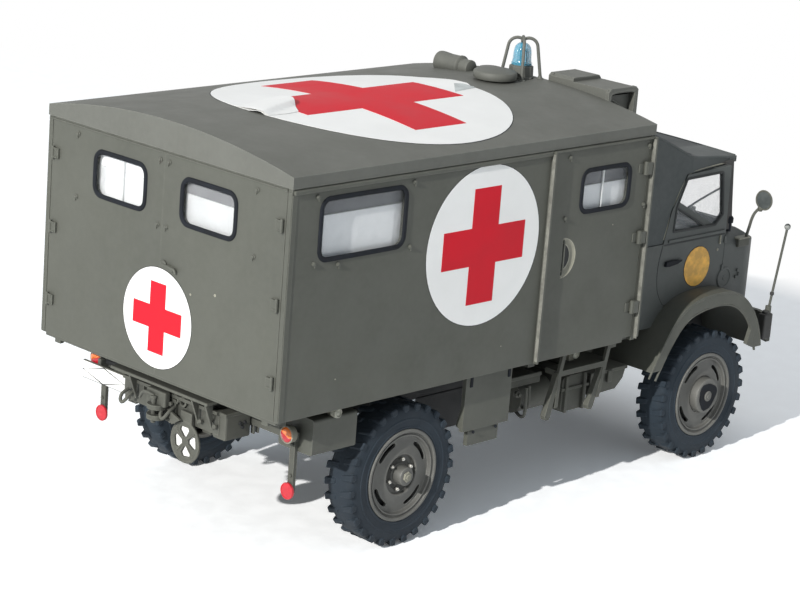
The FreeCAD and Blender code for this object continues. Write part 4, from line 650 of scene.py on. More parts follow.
# from the blind bore for the stub, over the back of the disc, the barrel and the rolled edge, to the slots
rimBack = [(1.05, 3.7), (1.05, 0.1), (3.0, 0.1), (3.4, 1.5), (3.7, 1.85), (6.5, 1.9), (7.0, 1.8), (7.0, -2.8),
           (7.6, -2.8), (7.6, 2.72), (8.05, 2.78), (8.2, 2.92), (8.22, 3.12), (8.1, 3.26), (7.86, 3.3),
           (7.66, 3.22), (7.56, 2.98), (7.44, 2.76), (7.3, 2.78), (7.2, 2.98), (7.08, 3.04), (6.96, 2.96),
           (6.84, 2.62), (6.7, 2.4), (6.5, 2.34), (5.9, 2.38), (5.2, 2.5)]
rearFace = [(4.4, 2.64), (4.0, 2.76), (3.7, 2.76), (3.56, 2.64), (3.46, 2.1), (2.0, 2.08), (1.86, 2.2),
            (1.72, 2.3), (1.66, 3.9), (1.58, 4.06), (1.42, 4.14), (0, 4.16)]
frontFace = [(4.8, 2.5), (4.3, 2.62), (4.0, 2.74), (3.72, 2.76), (3.6, 2.66), (3.52, 2.52), (3.46, 2.6),
             (3.44, 3.9), (3.36, 4.16), (3.14, 4.3), (2.6, 4.34), (2.5, 4.3), (2.44, 4.14), (1.15, 4.12),
             (1.05, 4.18), (1.0, 4.5), (0.86, 4.6), (0.45, 4.62), (0, 4.62)]


def makeRimMesh(name, face):
    rim = turned(name, (0, 0, 0), "y", rimBack + face, rimShape["steps"], angle=30)
    return smooth(cutSlots(rim, rimShape), 28)


def hexNut(name, spot, size, height):
    # a chamfered six-sided nut with the end of its stud
    rings = [(size, 0), (size, height * 0.75), (size * 0.84, height), (size * 0.5, height),
             (size * 0.48, height * 1.4), (size * 0.3, height * 1.5), (0, height * 1.5)]
    return turned(name, spot, "y", rings, 6, angle=20)


def paintedRing(radius, swing, waves, start, wander, steps):
    # the outline of paint brushed round a hub: a ring whose edge wanders
    points = []
    for step in range(steps):
        turn = 2 * math.pi * step / steps
        reach = radius + swing * math.sin(waves * turn + start) + random.uniform(-wander, wander)
        points.append((reach * math.cos(turn), reach * math.sin(turn)))
    return points


def seatOnWheel(piece, name, side, turn):
    # a copy of a wheel part drawn round the origin, put on one wheel
    made = copyOf(piece, name)
    bpy.ops.transform.rotate(value=turn, orient_axis="Y", center_override=(0, 0, 0))
    if side < 0:
        bpy.ops.transform.rotate(value=math.pi, orient_axis="Z", center_override=(0, 0, 0))
    return made


tyreMesh = makeTyreMesh(tyreShape)
rimMeshes = {"front": makeRimMesh("frontRimMesh", frontFace), "rear": makeRimMesh("rearRimMesh", rearFace)}
nutMesh = ringOf("nutMesh", hexNut("wheelNut", (rimShape["nutCircle"], 2.2, 0), rimShape["nutSize"], 0.46),
                 rimShape["nuts"], (0, 0, 0))
# black paint round the front hub nut
random.seed(11)
blackMesh = outlinePlate("hubBlackMesh", paintedRing(2.62, 0.26, 3, 0.6, 0.12, 22), 0.24, "xz", 4.12)
hexMesh = hexNut("hubNutMesh", (0, 4.3, 0), 1.0, 0.3)
capMesh = hexNut("hubCapMesh", (0, 4.14, 0), 0.95, 0.3)
# the brake drum behind each wheel is near-black: painted shade inside the wheel
drumRings = [(1.3, -1.6), (5.6, -1.6), (6.3, -1.3), (6.3, 1.0), (6.1, 1.3), (3.6, 1.3), (3.5, 0.0),
             (1.3, 0.0), (1.3, -1.6)]
drumMesh = turned("drumMesh", (0, 0, 0), "y", drumRings, 48, loop=True, angle=30)
# dark wash in the recess round the wheel nuts, partly painted shade of the recess
washShadeMesh = outlinePlate("hubWashMesh", paintedRing(3.0, 0.28, 2, 0.9, 0.1, 26), 0.06, "xz", 2.06)
for index, name in enumerate(wheelNames):
    side = 1 if "left" in name else -1
    end = name.split("_")[0]
    body = name + "_wheel"
    turn = math.radians(rimShape["turnedBy"])
    parts = [(tyreMesh, "TyreLugged", tyreRubber, "tyre_grey", [name + "_tyre"], 0.37 * index),
             (rimMeshes[end], "RimPressed", rimPaint, "olive_paint", [name + "_rim"], turn),
             (drumMesh, "BrakeDrum", darkHole, "chassis_paint", None, 0)]
    if end == "rear":
        parts.append((nutMesh, "WheelNuts", steelBright, "olive_paint", None, turn + 0.3))
        parts.append((capMesh, "HubCap", bareEdge, "olive_paint", None, 0.2))
        parts.append((washShadeMesh, "HubWash", washDark, "olive_paint", None, 0.5))
    else:
        parts.append((blackMesh, "HubBlack", sealRubber, "tyre_grey", None, 0.4))
        parts.append((hexMesh, "HubNut", rimPaint, "olive_paint", None, 0.2))
    for mesh, label, material, slot, replaced, angle in parts:
        made = seatOnWheel(mesh, name + label, side, angle)
        bpy.ops.transform.translate(value=wheelCentre(name))
        finish(settle(made), material, body, replaced)
discard(tyreMesh, nutMesh, blackMesh, hexMesh, capMesh, washShadeMesh, drumMesh, *rimMeshes.values())
print("wheels made")


# on the body's walls u is counted from the rear axle, or from the middle on the rear, and w is the height
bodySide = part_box("box_floor")[1][1] / mm + 1.0
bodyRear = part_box("rear_door_left")[0][0] / mm + 0.4 - rearAxle
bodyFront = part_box("box_front_wall")[1][0] / mm - rearAxle
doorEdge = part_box("side_door")[0][0] / mm - 0.1 - rearAxle
wallAxes = {"rear": "-x", "right": "-y", "left": "y"}


def onWall(wall, u, w, out=0.0):
    if wall == "rear":
        return (rearAxle + bodyRear - out, u, w)
    side = -1 if wall == "right" else 1
    return (rearAxle + u, side * (bodySide + out), w)


def wallBlock(name, wall, low, high, out, bevel=0.08):
    # a strip or plate on a wall: low and high are (u, w), out says where it starts and ends in front of it
    a, b = onWall(wall, *low, out[0]), onWall(wall, *high, out[1])
    return block(name, [min(pair) for pair in zip(a, b)], [max(pair) for pair in zip(a, b)], bevel)


def roundedLoop(left, bottom, right, top, radius, steps=5):
    points = []
    corners = [(right - radius, bottom + radius, -90), (right - radius, top - radius, 0),
               (left + radius, top - radius, 90), (left + radius, bottom + radius, 180)]
    for u, w, start in corners:
        for step in range(steps + 1):
            turn = math.radians(start + 90 * step / steps)
            points.append((u + radius * math.cos(turn), w + radius * math.sin(turn)))
    return points


# wall, left, bottom, right, top
sideWindow = (bodyRear + 6.6, 54.6, bodyRear + 25.8, 64.6)
doorWindow = (bodyFront - 19.0, 54.8, bodyFront - 6.0, 62.3)
windowPlaces = [("right", *sideWindow), ("left", *sideWindow), ("right", *doorWindow), ("left", *doorWindow),
                ("rear", 4.6, 55.8, 17.6, 63.4), ("rear", -17.6, 55.8, -4.6, 63.4)]
sealShape = dict(radius=0.44, corner=1.8, reach=0.02, flat=0.7)


def makeSeal(wall, left, bottom, right, top, s):
    # a black rubber section pressed over the edge of the opening
    grow = s["reach"]
    loop = roundedLoop(left - grow, bottom - grow, right + grow, top + grow, s["corner"])
    seal = wireRod("windowSeal", [onWall(wall, u, w) for u, w in loop], s["radius"], 2, closed=True)
    pick(seal)
    squeeze = (s["flat"], 1, 1) if wall == "rear" else (1, s["flat"], 1)
    bpy.ops.transform.resize(value=squeeze, center_override=Vector(onWall(wall, left, bottom)) * mm)
    return settle(seal)


finish(fused("windowSeals", [makeSeal(*place, sealShape) for place in windowPlaces]), sealRubber)
# the overlapping edges of the sliding panes, in pale plastic as a painted highlight
bars = [wallBlock("paneBar", wall, (doorWindow[0] + 6.2, 54.7), (doorWindow[0] + 6.6, 62.4), (-0.85, -0.55),
                  0.06) for wall in ("right", "left")]
bars.append(wallBlock("paneBar", "rear", (10.9, 55.7), (11.1, 63.5), (-0.85, -0.55), 0.04))
finish(fused("paneBars", bars), lampClear)

# dark boards over the blinds on the sides and the right rear window, painted shade of the dark inside, and a
# pale one on the left rear, a painted reflection
boards = [wallBlock("windowBoard", wall, (left - 0.6, top), (right + 0.6, high), (-2.2, -1.95), 0.04)
          for wall in ("right", "left") for left, right, top, high in
          ((sideWindow[0], sideWindow[2], 61.62, 65.2), (doorWindow[0], doorWindow[2], 59.24, 62.9))]
boards.append(wallBlock("windowBoard", "rear", (-18.2, 60.75), (-4.0, 64.0), (-1.3, -1.05), 0.04))
finish(fused("windowBoards", boards), boardGrey)
finish(wallBlock("windowBoardPale", "rear", (4.0, 60.75), (18.2, 64.0), (-1.3, -1.05), 0.04), blindWhite)

# shutter studs off the window corners, with a small latch tongue on each
studPlaces = []
for wall in ("right", "left"):
    for left, bottom, right, top in (sideWindow, doorWindow):
        ahead = 4.6 if left > 0 else 1.6
        behind = 4.0 if left > 0 else 1.1
        for u in (left - behind, right + ahead):
            studPlaces += [(wall, u, 65.2), (wall, u, 54.3)]
    studPlaces.append((wall, sideWindow[0] + 4.4, 53.5))
for u in (22.3, 1.1, -1.1, -22.3):
    studPlaces += [("rear", u, 65.2), ("rear", u, 54.3)]


def makeStud(wall, u, w):
    knob = turned("stud", onWall(wall, u, w), wallAxes[wall],
                  [(0.42, -0.2), (0.42, 0.12), (0.3, 0.2), (0.3, 0.36), (0.2, 0.44), (0, 0.45)], 10)
    tongue = wallBlock("studTongue", wall, (u + 0.1, w - 0.75), (u + 0.5, w), (-0.1, 0.2), 0.06)
    return [knob, tongue]


studs = [part for place in studPlaces for part in makeStud(*place)]
finish(fused("shutterStuds", studs), olivePaint)

# gutter under the roof rim, strip over the door, seam across the rear and the corner bands
trims = [
    wallBlock("doorTop", "right", (doorEdge + 0.1, 66.35), (bodyFront - 0.4, 66.75), (-0.1, 0.5)),
    wallBlock("gutter", "right", (bodyRear + 0.2, 66.0), (doorEdge - 0.5, 66.75), (-0.1, 0.42), 0.12),
    wallBlock("gutter", "left", (bodyRear + 0.2, 66.0), (bodyFront - 0.5, 66.75), (-0.1, 0.42), 0.12),
    wallBlock("seam", "rear", (-28.6, 66.45), (30.1, 66.7), (-0.1, 0.16), 0.05),
    wallBlock("seamEnd", "rear", (-29.2, 66.35), (-28.5, 66.8), (-0.1, 0.24), 0.08),
]
for wall in ("right", "left"):
    trims.append(wallBlock("cornerBand", wall, (bodyRear, 28.7), (bodyRear + 1.05, 66.0), (-0.1, 0.1), 0.04))
for u in (29.3, -30.2):
    trims.append(wallBlock("cornerBand", "rear", (u, 28.7), (u + 0.9, 66.4), (-0.1, 0.08), 0.04))
# the sill that shows below the rear doors, with its two small feet
trims.append(wallBlock("rearSill", "rear", (-29.4, 27.95), (29.4, 28.6), (-1.6, -0.3), 0.1))
for u in (25.6, -27.4):
    trims.append(wallBlock("sillFoot", "rear", (u, 27.2), (u + 1.5, 28.1), (-1.5, -0.5), 0.12))
finish(fused("bodyTrims", trims), olivePaint)
# hinges: pins on the rear leaves, knuckles on the side door's
hingeHeights = (34.0, 46.9, 59.9)
pins = []
for height in hingeHeights:
    for u in (-28.6, 28.6):
        pins.append(turned("hingePin", onWall("rear", u, height - 0.25, 0.38), "z",
                           [(0.18, 0), (0.26, 0.08), (0.26, 2.2), (0.18, 2.3), (0, 2.3)], 8))
        for rise in (0.0, 1.55):
            inward = 1.1 if u < 0 else -1.1
            low, high = sorted((u, u + inward))
            pins.append(wallBlock("hingeLeaf", "rear", (low, height + rise), (high, height + rise + 0.25),
                                  (0.3, 0.5), 0.05))
finish(fused("rearHinges", pins), olivePaint)
knuckles = []
for height in (34.1, 47.2, 60.0):
    knuckles.append(turned("knuckle", onWall("right", bodyFront - 2.1, height - 0.15, 0.42), "z",
                           [(0.3, 0), (0.42, 0.1), (0.42, 2.4), (0.3, 2.5), (0, 2.5)], 12))
    knuckles.append(wallBlock("knuckleLeaf", "right", (bodyFront - 3.6, height + 0.3),
                              (bodyFront - 2.3, height + 1.9), (-0.1, 0.14), 0.05))
finish(fused("sideHinges", knuckles), olivePaint)

# painted light: a lighter paint on the rear face of the upright strips, which faces the key
litFace = []
for wall, u in (("right", doorEdge), ("right", bodyFront), ("left", bodyFront)):
    litFace.append(wallBlock("rubbedStrip", wall, (u - 0.45, 29.0), (u - 0.38, 66.3), (0.2, 0.9), 0.02))
finish(fused("rubbedStrips", litFace), wornPaint)

# rear handle: a bent lever on a round boss
lever = wireRod("lever", [onWall("rear", u, w, out) for u, w, out in
                          ((-1.1, 48.0, 0.0), (-1.1, 48.0, 0.4), (-1.35, 48.05, 0.45), (-3.4, 47.85, 0.43),
                           (-4.2, 47.75, 0.42), (-4.3, 47.2, 0.38))], 0.24)
boss = turned("leverBoss", onWall("rear", -1.1, 48.0), "-x", [(0.7, -0.1), (0.7, 0.25), (0.5, 0.4), (0, 0.4)],
              16)
finish(fused("rearLever", [lever, boss]), olivePaint)

# the handle pocket in the side door: a sloping curved wall, a near-black bottom of painted shade and the pull
# bar
pocket = dict(u=doorEdge + 4.7, w=47.0, radius=3.68, inner=2.55, depth=0.56)


def makePocketWall(s):
    wall = turned("pocketWall", onWall("right", s["u"], s["w"]), "-y",
                  [(s["radius"], 0.0), (s["inner"], -s["depth"]), (s["radius"], -s["depth"]),
                   (s["radius"], 0.0)], 48, loop=True, angle=30)
    editPiece(wall)
    selectAll()
    bpy.ops.mesh.bisect(plane_co=((rearAxle + s["u"]) * mm, 0, 0), plane_no=(1, 0, 0), use_fill=True,
                        clear_inner=True)
    return leaveEdit(wall)


finish(makePocketWall(pocket), bareEdge)
halfDisc = [(rearAxle + pocket["u"] + 0.02 + pocket["inner"] * math.cos(math.radians(turn)),
             pocket["w"] + pocket["inner"] * math.sin(math.radians(turn))) for turn in range(-90, 91, 12)]
halfDisc += [(rearAxle + pocket["u"] + 0.02, pocket["w"] + 3.5),
             (rearAxle + pocket["u"] + 0.02, pocket["w"] - 3.5)]
finish(outlinePlate("pocketBottom", halfDisc, 0.05, "xz", -bodySide + 0.53), darkHole)
pullLine = [(3.3, -0.5), (3.1, -0.15), (2.2, -0.05), (-2.2, -0.05), (-3.1, -0.15), (-3.3, -0.5)]
pullPath = [onWall("right", pocket["u"] + 0.5, pocket["w"] + w, out) for w, out in pullLine]
finish(wireRod("pullBar", pullPath, 0.2), olivePaint)
print("body trims made")


def wallPlate(name, wall, points, out, thickness):
    # a flat outline laid on a wall
    if wall == "rear":
        return outlinePlate(name, points, -thickness, "yz", onWall(wall, 0, 0, out)[0])
    points = [(rearAxle + u, w) for u, w in points]
    away = 1 if wall == "left" else -1
    return outlinePlate(name, points, away * thickness, "xz", onWall(wall, 0, 0, out)[1])


def discPoints(u, w, radius, steps=72):
    return [(u + radius * math.cos(2 * math.pi * step / steps),
             w + radius * math.sin(2 * math.pi * step / steps)) for step in range(steps)]


def crossPoints(u, w, arm, span):
    a, s = arm / 2, span / 2
    return [(u + x, w + y) for x, y in ((s, a), (a, a), (a, s), (-a, s), (-a, a), (-s, a), (-s, -a), (-a, -a),
                                        (-a, -s), (a, -s), (a, -a), (s, -a))]


# wall, place, radius, width of the cross arms and their length from end to end
roundels = [("rear", 0.0, 38.5, 8.6, 3.94, 12.2), ("right", 12.8, 52.1, 14.0, 6.63, 20.3),
            ("left", 12.8, 52.1, 14.0, 6.63, 20.3)]
films = {"Edge": [], "White": [], "Red": []}
for wall, u, w, radius, arm, span in roundels:
    films["Edge"].append(wallPlate("filmEdge", wall, discPoints(u, w, radius + 0.1), 0.0, 0.02))
    films["White"].append(wallPlate("filmWhite", wall, discPoints(u, w, radius), 0.01, 0.03))
    films["Red"].append(wallPlate("filmRed", wall, crossPoints(u, w, arm, span), 0.03, 0.03))
finish(fused("roundelEdges", films["Edge"]), sealRubber)
finish(fused("roundelDiscs", films["White"]), decalWhite)
finish(fused("roundelCrosses", films["Red"]), decalRed)
print("markings made")


# the film bridges two low lifts at its rear and front edge;
# each lift is (u, y, reach along, reach across, height, slant, fade)
roofFilm = dict(u=10.9, y=-1.0, radius=26.35, arm=12.5, span=38.2, grid=1.0,
                lifts=[(-15.0, -2.2, 5.0, 1.5, 0.4, 0.0, 0.8), (38.6, 3.0, 7.5, 5.6, 0.5, 0.0, 0.8)])
# a torn flap of the white film lies over the end of one arm of the cross
tornFlap = dict(roofFilm, grid=0.5, lifts=[(-2.7, 3.3, 13.0, 3.6, 0.8, 0.35, 0.2)])


def liftAt(u, y, s):
    total = 0.0
    for u0, y0, along, across, height, slant, fade in s["lifts"]:
        a, b = abs(u - u0) / along, (y - y0 - slant * (u - u0)) / across
        if a < 1 and abs(b) < 1:
            # steep on the right-hand side, slack on the left
            flank = (1 + b) / 0.22 if b < -0.78 else (1 - b) / 1.2
            total += height * min(1.0, flank) * (1 - a) ** fade
    return total


def drapeFilm(name, points, s, gap, thickness):
    film = outlinePlate(name, [(u + rearAxle, y) for u, y in points], 0.2, "xy", 80.0)
    editPiece(film)
    selectFaces(film, lambda at, normal: normal.z < 0.5)
    bpy.ops.mesh.delete(type="FACE")
    count = int(2 * s["radius"] / s["grid"]) + 2
    for step in range(count):
        spot = step * s["grid"] - s["radius"]
        for centre, across in ((s["u"] + rearAxle, (1, 0, 0)), (s["y"], (0, 1, 0))):
            selectAll()
            place = [0, 0, 0]
            place[0 if across[0] else 1] = (centre + spot) * mm
            bpy.ops.mesh.bisect(plane_co=place, plane_no=across)
    selectAll()
    bpy.ops.mesh.remove_doubles(threshold=0.01 * mm)
    leaveEdit(film)
    useModifier(film, "SHRINKWRAP", target=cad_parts["box_roof"], wrap_method="PROJECT",
                use_project_x=False, use_project_y=False, use_project_z=True, use_negative_direction=True,
                use_positive_direction=False)
    for corner in film.data.vertices:
        u, y = corner.co.x / mm - rearAxle, corner.co.y / mm
        corner.co.z += (gap + liftAt(u, y, s)) * mm
    useModifier(film, "SOLIDIFY", thickness=thickness * mm, offset=1)
    return smooth(film, 25)


place = (roofFilm["u"], roofFilm["y"])
finish(drapeFilm("roofRoundelEdge", discPoints(*place, roofFilm["radius"] + 0.14), roofFilm, 0.01, 0.02),
       sealRubber)
finish(drapeFilm("roofRoundelDisc", discPoints(*place, roofFilm["radius"]), roofFilm, 0.03, 0.05), decalWhite)
finish(drapeFilm("roofRoundelCross", crossPoints(*place, roofFilm["arm"], roofFilm["span"]), roofFilm, 0.08,
                 0.04), decalRed)
flap = [(-2.7, 5.3), (-3.7, 1.3), (-5.2, -0.9), (-6.8, -3.0), (-8.0, -4.8), (-10.5, -5.3), (-15.1, -4.9),
        (-15.3, -1.0), (-15.1, 3.0), (-9.0, 5.6)]
finish(drapeFilm("roofFilmFlap", flap, tornFlap, 0.13, 0.04), decalWhite)
# painted shade: a grey patch on the film beside its front lift, for the shaded face of a fold
fold = [(35.0, -0.2), (37.5, -2.8), (36.9, -3.7), (30.9, -4.4)]
finish(drapeFilm("roofFilmFold", fold, roofFilm, 0.09, 0.04), foldGrey)


roofRise = 3.2  # crown of the roof over its edges


def roofTop(y):
    # height of the crowned roof at a distance from the middle
    half = (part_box("box_roof")[1][1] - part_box("box_roof")[0][1]) / 2 / mm
    radius = (half * half + roofRise * roofRise) / (2 * roofRise)
    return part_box("box_roof")[1][2] / mm - radius + math.sqrt(radius * radius - y * y)


def onRoof(u, y, lift=0.0):
    return onTruck(u, y, roofTop(y) + lift)


# the mushroom vent, the low cap and the heater cowl lying across the roof
mushroom = turned("mushroomVent", onRoof(46.5, 0.3, -0.3), "z",
                  [(2.6, 0), (2.6, 0.5), (3.6, 0.52), (3.95, 0.68), (4.07, 0.95), (4.1, 1.3), (4.06, 1.7),
                   (3.92, 1.98), (3.6, 2.14), (2.6, 2.28), (1.2, 2.4), (0, 2.44)], 48)
lowCap = turned("lowVent", onRoof(53.4, 7.6, -0.5), "z",
                [(2.2, 0), (2.3, 0.7), (2.35, 0.95), (2.2, 1.15), (1.6, 1.28), (0, 1.36)], 32)
cowlPlace = onTruck(50.0, 0, roofTop(15) + 0.9)
cowlRings = [(1.35, 9.4), (1.5, 9.5), (1.56, 9.8), (1.5, 10.2), (1.5, 11.5), (1.85, 11.7), (2.0, 11.9),
             (2.0, 12.2), (1.88, 12.4), (1.84, 14.8), (1.9, 15.4), (1.98, 16.4), (2.0, 17.1), (1.94, 17.5),
             (1.72, 17.6), (1.55, 17.4), (1.5, 16.0), (1.3, 14.2), (0, 14.2)]
cowl = turned("heaterCowl", cowlPlace, "y", cowlRings, 40)
cowlFoot = block("cowlFoot", (cowlPlace[0] - 1.4, 10.6, roofTop(17) - 0.6),
                 (cowlPlace[0] + 1.4, 16.9, cowlPlace[2] - 0.2), 0.25, 2)
vents = fused("roofVents", [mushroom, lowCap, cowl, cowlFoot])
finish(vents, roofPaint, replaces=["roof_vents"])

# the beacon: an eight-sided base, a clear lens, a dark core and two pale mirror sheets, painted with the
# highlights of the mirrors
beaconPlace = dict(u=53.3, footReach=3.62)
base = turned("beaconFoot", onRoof(beaconPlace["u"], 0, -0.2), "z",
              [(2.5, 0), (2.5, 0.4), (2.32, 0.55), (2.25, 2.35), (2.05, 2.5), (1.9, 2.52), (1.88, 2.7),
               (0, 2.7)], 8, angle=20)
finish(base, roofPaint, replaces=["beacon_base"])
lens = turned("beaconLens", onRoof(beaconPlace["u"], 0, 2.45), "z",
              [(1.95, 0), (1.95, 0.3), (1.8, 0.5), (1.72, 1.2), (1.68, 2.2), (1.6, 2.8), (1.44, 3.3),
               (1.15, 3.7), (0.8, 3.94), (0.4, 4.06), (0, 4.1)], 40)
finish(lens, blueLens, replaces=["beacon_dome"])
core = turned("beaconCore", onRoof(beaconPlace["u"], 0, 2.5), "z",
              [(0.75, 0), (0.75, 0.25), (0.35, 0.35), (0.35, 2.4), (0.5, 2.6), (0.4, 3.1), (0, 3.3)], 16)
finish(core, sealRubber)
mirrorLine = [(beaconPlace["u"] + 0.95 * math.cos(turn), 0.95 * math.sin(turn), roofTop(0) + 2.6 + rise)
              for turn, rise in ((0.9, 0.0), (0.9, 2.4), (1.6, 2.8), (2.3, 2.4), (2.3, 0.0))]
mirrorSheet = truckRod("beaconMirror", mirrorLine, 0.28)
otherSheet = shifted(mirrorSheet, (0, -1.5, 0))
finish(fused("beaconMirrors", [mirrorSheet, otherSheet]), lampClear)
feet = []
for sx in (1, -1):
    for sy in (1, -1):
        reach = beaconPlace["footReach"] * math.sqrt(0.5)
        feet.append(turned("guardFoot", onRoof(beaconPlace["u"] + sx * reach, sy * reach, -0.1), "z",
                           [(0.7, 0), (0.66, 0.22), (0.42, 0.3), (0.36, 0.6), (0, 0.6)], 14))
finish(fused("guardFeet", feet), roofPaint)

# the intake hood: rolled edge round its mouth, folded seams over the top, a stay and a screen inside
hood = dict(back=56.6, front=64.9, low=67.9, high=72.4, mouth=-18.55)
hoodLine = [(hood["back"] + 0.3, hood["low"]), (hood["back"] + 0.3, hood["high"] - 0.9),
            (hood["back"] + 0.9, hood["high"] - 0.1), (hood["front"] - 1.0, hood["high"] - 0.1),
            (hood["front"] - 0.35, hood["high"] - 0.8), (hood["front"] - 0.35, hood["low"])]
rim = truckRod("hoodRim", [(u, hood["mouth"], z) for u, z in hoodLine], 0.3)
seams = [truckBlock("hoodSeam", (56.7, y, 72.2), (64.3, y + 0.28, top), 0.08)
         for y, top in ((-14.6, 72.75), (-9.95, 73.45), (-5.0, 73.48))]
stay = truckRod("hoodStay", [(63.4, -17.6, 68.2), (60.6, -17.6, 70.0), (57.6, -17.6, 71.3)], 0.22)
screen = truckBlock("hoodScreen", (57.2, -17.4, 67.9), (64.0, -17.2, 71.4), 0.05)
finish(fused("hoodFittings", [rim, stay, screen] + seams), roofPaint)

# a flush filler in the joint of the rear doors, and paint chips
joint = wallBlock("doorJoint", "rear", (-0.12, 28.7), (0.2, 66.35), (-0.7, 0.015), 0.0)
finish(useModifier(joint, "BEVEL", width=0.01 * mm, segments=1), olivePaint)
chips = []
for wall, u, w, radius in (("rear", -7.9, 44.5, 0.22), ("rear", -13.8, 45.8, 0.26),
                           ("right", 19.6, 33.2, 0.12), ("right", -20.5, 34.0, 0.14),
                           ("right", 47.0, 51.5, 0.12)):
    chips.append(turned("paintChip", onWall(wall, u, w), wallAxes[wall],
                        [(radius, -0.05), (radius, 0.03), (radius * 0.6, 0.05), (0, 0.05)], 7))
finish(fused("paintChips", chips), bareEdge)
print("roof gear made")


# u is counted from the rear axle; each of these pieces is made on the right and mirrored to the left
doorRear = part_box("cab_door_right")[0][0] / mm + 1.3 - rearAxle
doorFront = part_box("cab_door_right")[1][0] / mm - rearAxle


def onCab(u, z, out=0.0):
    return (rearAxle + u, -doorPlane - out, z)


def cabBlock(name, low, high, out, bevel=0.08, rounds=1):
    a, b = onCab(*low, out[0]), onCab(*high, out[1])
    return block(name, [min(pair) for pair in zip(a, b)], [max(pair) for pair in zip(a, b)], bevel, rounds)


def cabPlate(name, points, out, thickness, bevel=0.0):
    return outlinePlate(name, [(u + rearAxle, z) for u, z in points], -thickness, "xz", -doorPlane - out,
                        bevel)


def bothSides(name, parts, material, replaces=None):
    right = fused(name, parts) if len(parts) > 1 else parts[0]
    left = mirrored(right, name + "Left")
    return finish(fused(name, [right, left]), material, replaces=replaces)


# blank yellow disc on each door
disc = dict(u=81.2, z=37.7, radius=3.9)
bothSides("doorDiscEdges",
          [cabPlate("discEdge", discPoints(disc["u"], disc["z"], disc["radius"] + 0.1, 20), 0.0, 0.03)],
          sealRubber)
bothSides("doorDiscs", [cabPlate("disc", discPoints(disc["u"], disc["z"], disc["radius"], 20), 0.02, 0.05)],
          discYellow)

# door joints: the bowed rear edge, the sill and the front post, with the shadowed joint at the belt
jointLine = [(doorRear - 0.25, 43.3), (doorRear - 0.75, 41.5), (doorRear - 1.2, 39.0), (doorRear - 1.1, 36.0),
             (doorRear - 0.2, 33.2), (doorRear + 1.45, 31.35)]
joints = [wireRod("doorJoint", [onCab(u, z, -0.04) for u, z in jointLine], 0.11),
          wireRod("postJoint", [onCab(doorFront + 0.05, z, -0.04) for z in (43.2, 40.0, 36.0, 33.6)], 0.09),
          cabBlock("beltJoint", (doorRear + 0.1, 43.0), (doorFront - 0.2, 43.3), (-0.2, 0.06), 0.04)]
loop = [(72.8, 45.5), (85.6, 45.3), (87.8, 47.2), (86.4, 55.6), (75.5, 55.4), (73.1, 50.2)]
corners = []
for index, (u, z) in enumerate(loop):
    for other in (loop[index - 1], loop[(index + 1) % len(loop)]):
        away = math.hypot(other[0] - u, other[1] - z)
        corners.append((u + (other[0] - u) * 0.7 / away, z + (other[1] - z) * 0.7 / away))
    corners.insert(-1, (u, z))
joints.append(wireRod("windowRubber", [onCab(u, z, -0.1) for u, z in corners], 0.3, closed=True))
joints.append(wireRod("quarterRubber",
                      [onCab(u, z, -0.12) for u, z in ((73.3, 50.1), (78.0, 47.7), (82.6, 45.4))], 0.22))
bothSides("doorRubbers", joints, jointDark)

# the dark, tapered door handle in its recess
grip = cabPlate("doorHandle", [(71.0, 39.0), (72.2, 38.9), (74.6, 39.15), (75.9, 39.6), (75.9, 39.85),
                               (73.0, 40.0), (71.2, 39.9)], 0.0, 0.56, 0.1)
bothSides("doorHandles", [grip], sealRubber)

# belt moulding, hinge clip, filler boss, studs and the little step plate of the mirror's foot
belt = cabBlock("beltMoulding", (doorRear + 1.2, 43.5), (doorFront - 0.5, 44.05), (-0.1, 0.26), 0.1, 2)
boss = turned("cowlBoss", onCab(90.2, 34.2), "-y", [(2.15, -0.3), (2.15, 0.1), (2.0, 0.22), (1.75, 0.22),
                                                    (1.65, 0.1), (0.5, 0.1), (0.4, 0.2), (0, 0.2)], 28)
studRings = [(0.34, -0.6), (0.34, 0.62), (0.2, 0.74), (0, 0.76)]
studsLow = [turned("cowlStud", onCab(u, z, -0.6), "-y", studRings, 8)
            for u, z in ((94.6, 35.1), (94.2, 33.8), (95.1, 34.2))]
hinges = [cabBlock("doorHinge", (88.9, z), (89.6, z + 1.4), (-0.1, 0.25), 0.1) for z in (35.6, 41.3)]
bothSides("cabTrims", [belt, boss] + studsLow + hinges, cabPaint)
clip = cabBlock("postClip", (87.4, 41.3), (87.75, 43.1), (-0.05, 0.32), 0.08)
dot = turned("postDot", onCab(87.2, 40.2), "-y", [(0.3, -0.05), (0.3, 0.08), (0.2, 0.14), (0, 0.14)], 10)
lip = truckBlock("mirrorPlate", (93.3, -24.9, 41.45), (96.85, -23.2, 41.75), 0.1)
bothSides("brightFittings", [clip, dot, lip], bareEdge)
# near-black fillers behind the door's upper edge and between the door and the screen: painted shade
filler = cabBlock("doorFiller", (75.2, 56.1), (90.8, 57.3), (-2.2, -1.2), 0.1)
post = cabPlate("postFiller", [(88.7, 43.5), (92.4, 43.5), (90.9, 57.2), (88.4, 57.2)], -1.4, 0.35, 0.05)
bothSides("doorFillers", [filler, post], seatBlack)
# the wiper motor's knob beside the screen
knob = turned("screenKnob", onTruck(91.9, -22.9, 43.0), "z",
              [(0.5, 0), (0.5, 1.6), (0.8, 1.7), (0.85, 2.6), (0.6, 2.95), (0, 3.0)], 14)
bothSides("screenKnobs", [knob], sealRubber)

# the soft top's moulded piping, front flaps, ridges and welts
soft = dict(rear=(61.8, 65.3), bend=(64.3, 65.0), knee=(76.9, 59.45), front=(91.9, 57.75))
line = [soft["rear"], soft["bend"], (70.6, 62.3), (75.0, 60.2), soft["knee"], (79.0, 59.2), (85.0, 58.55),
        soft["front"]]


def softSide(u):
    return 24.1 if u < soft["knee"][0] else 24.1 - 1.5 * (u - soft["knee"][0]) / 15.5


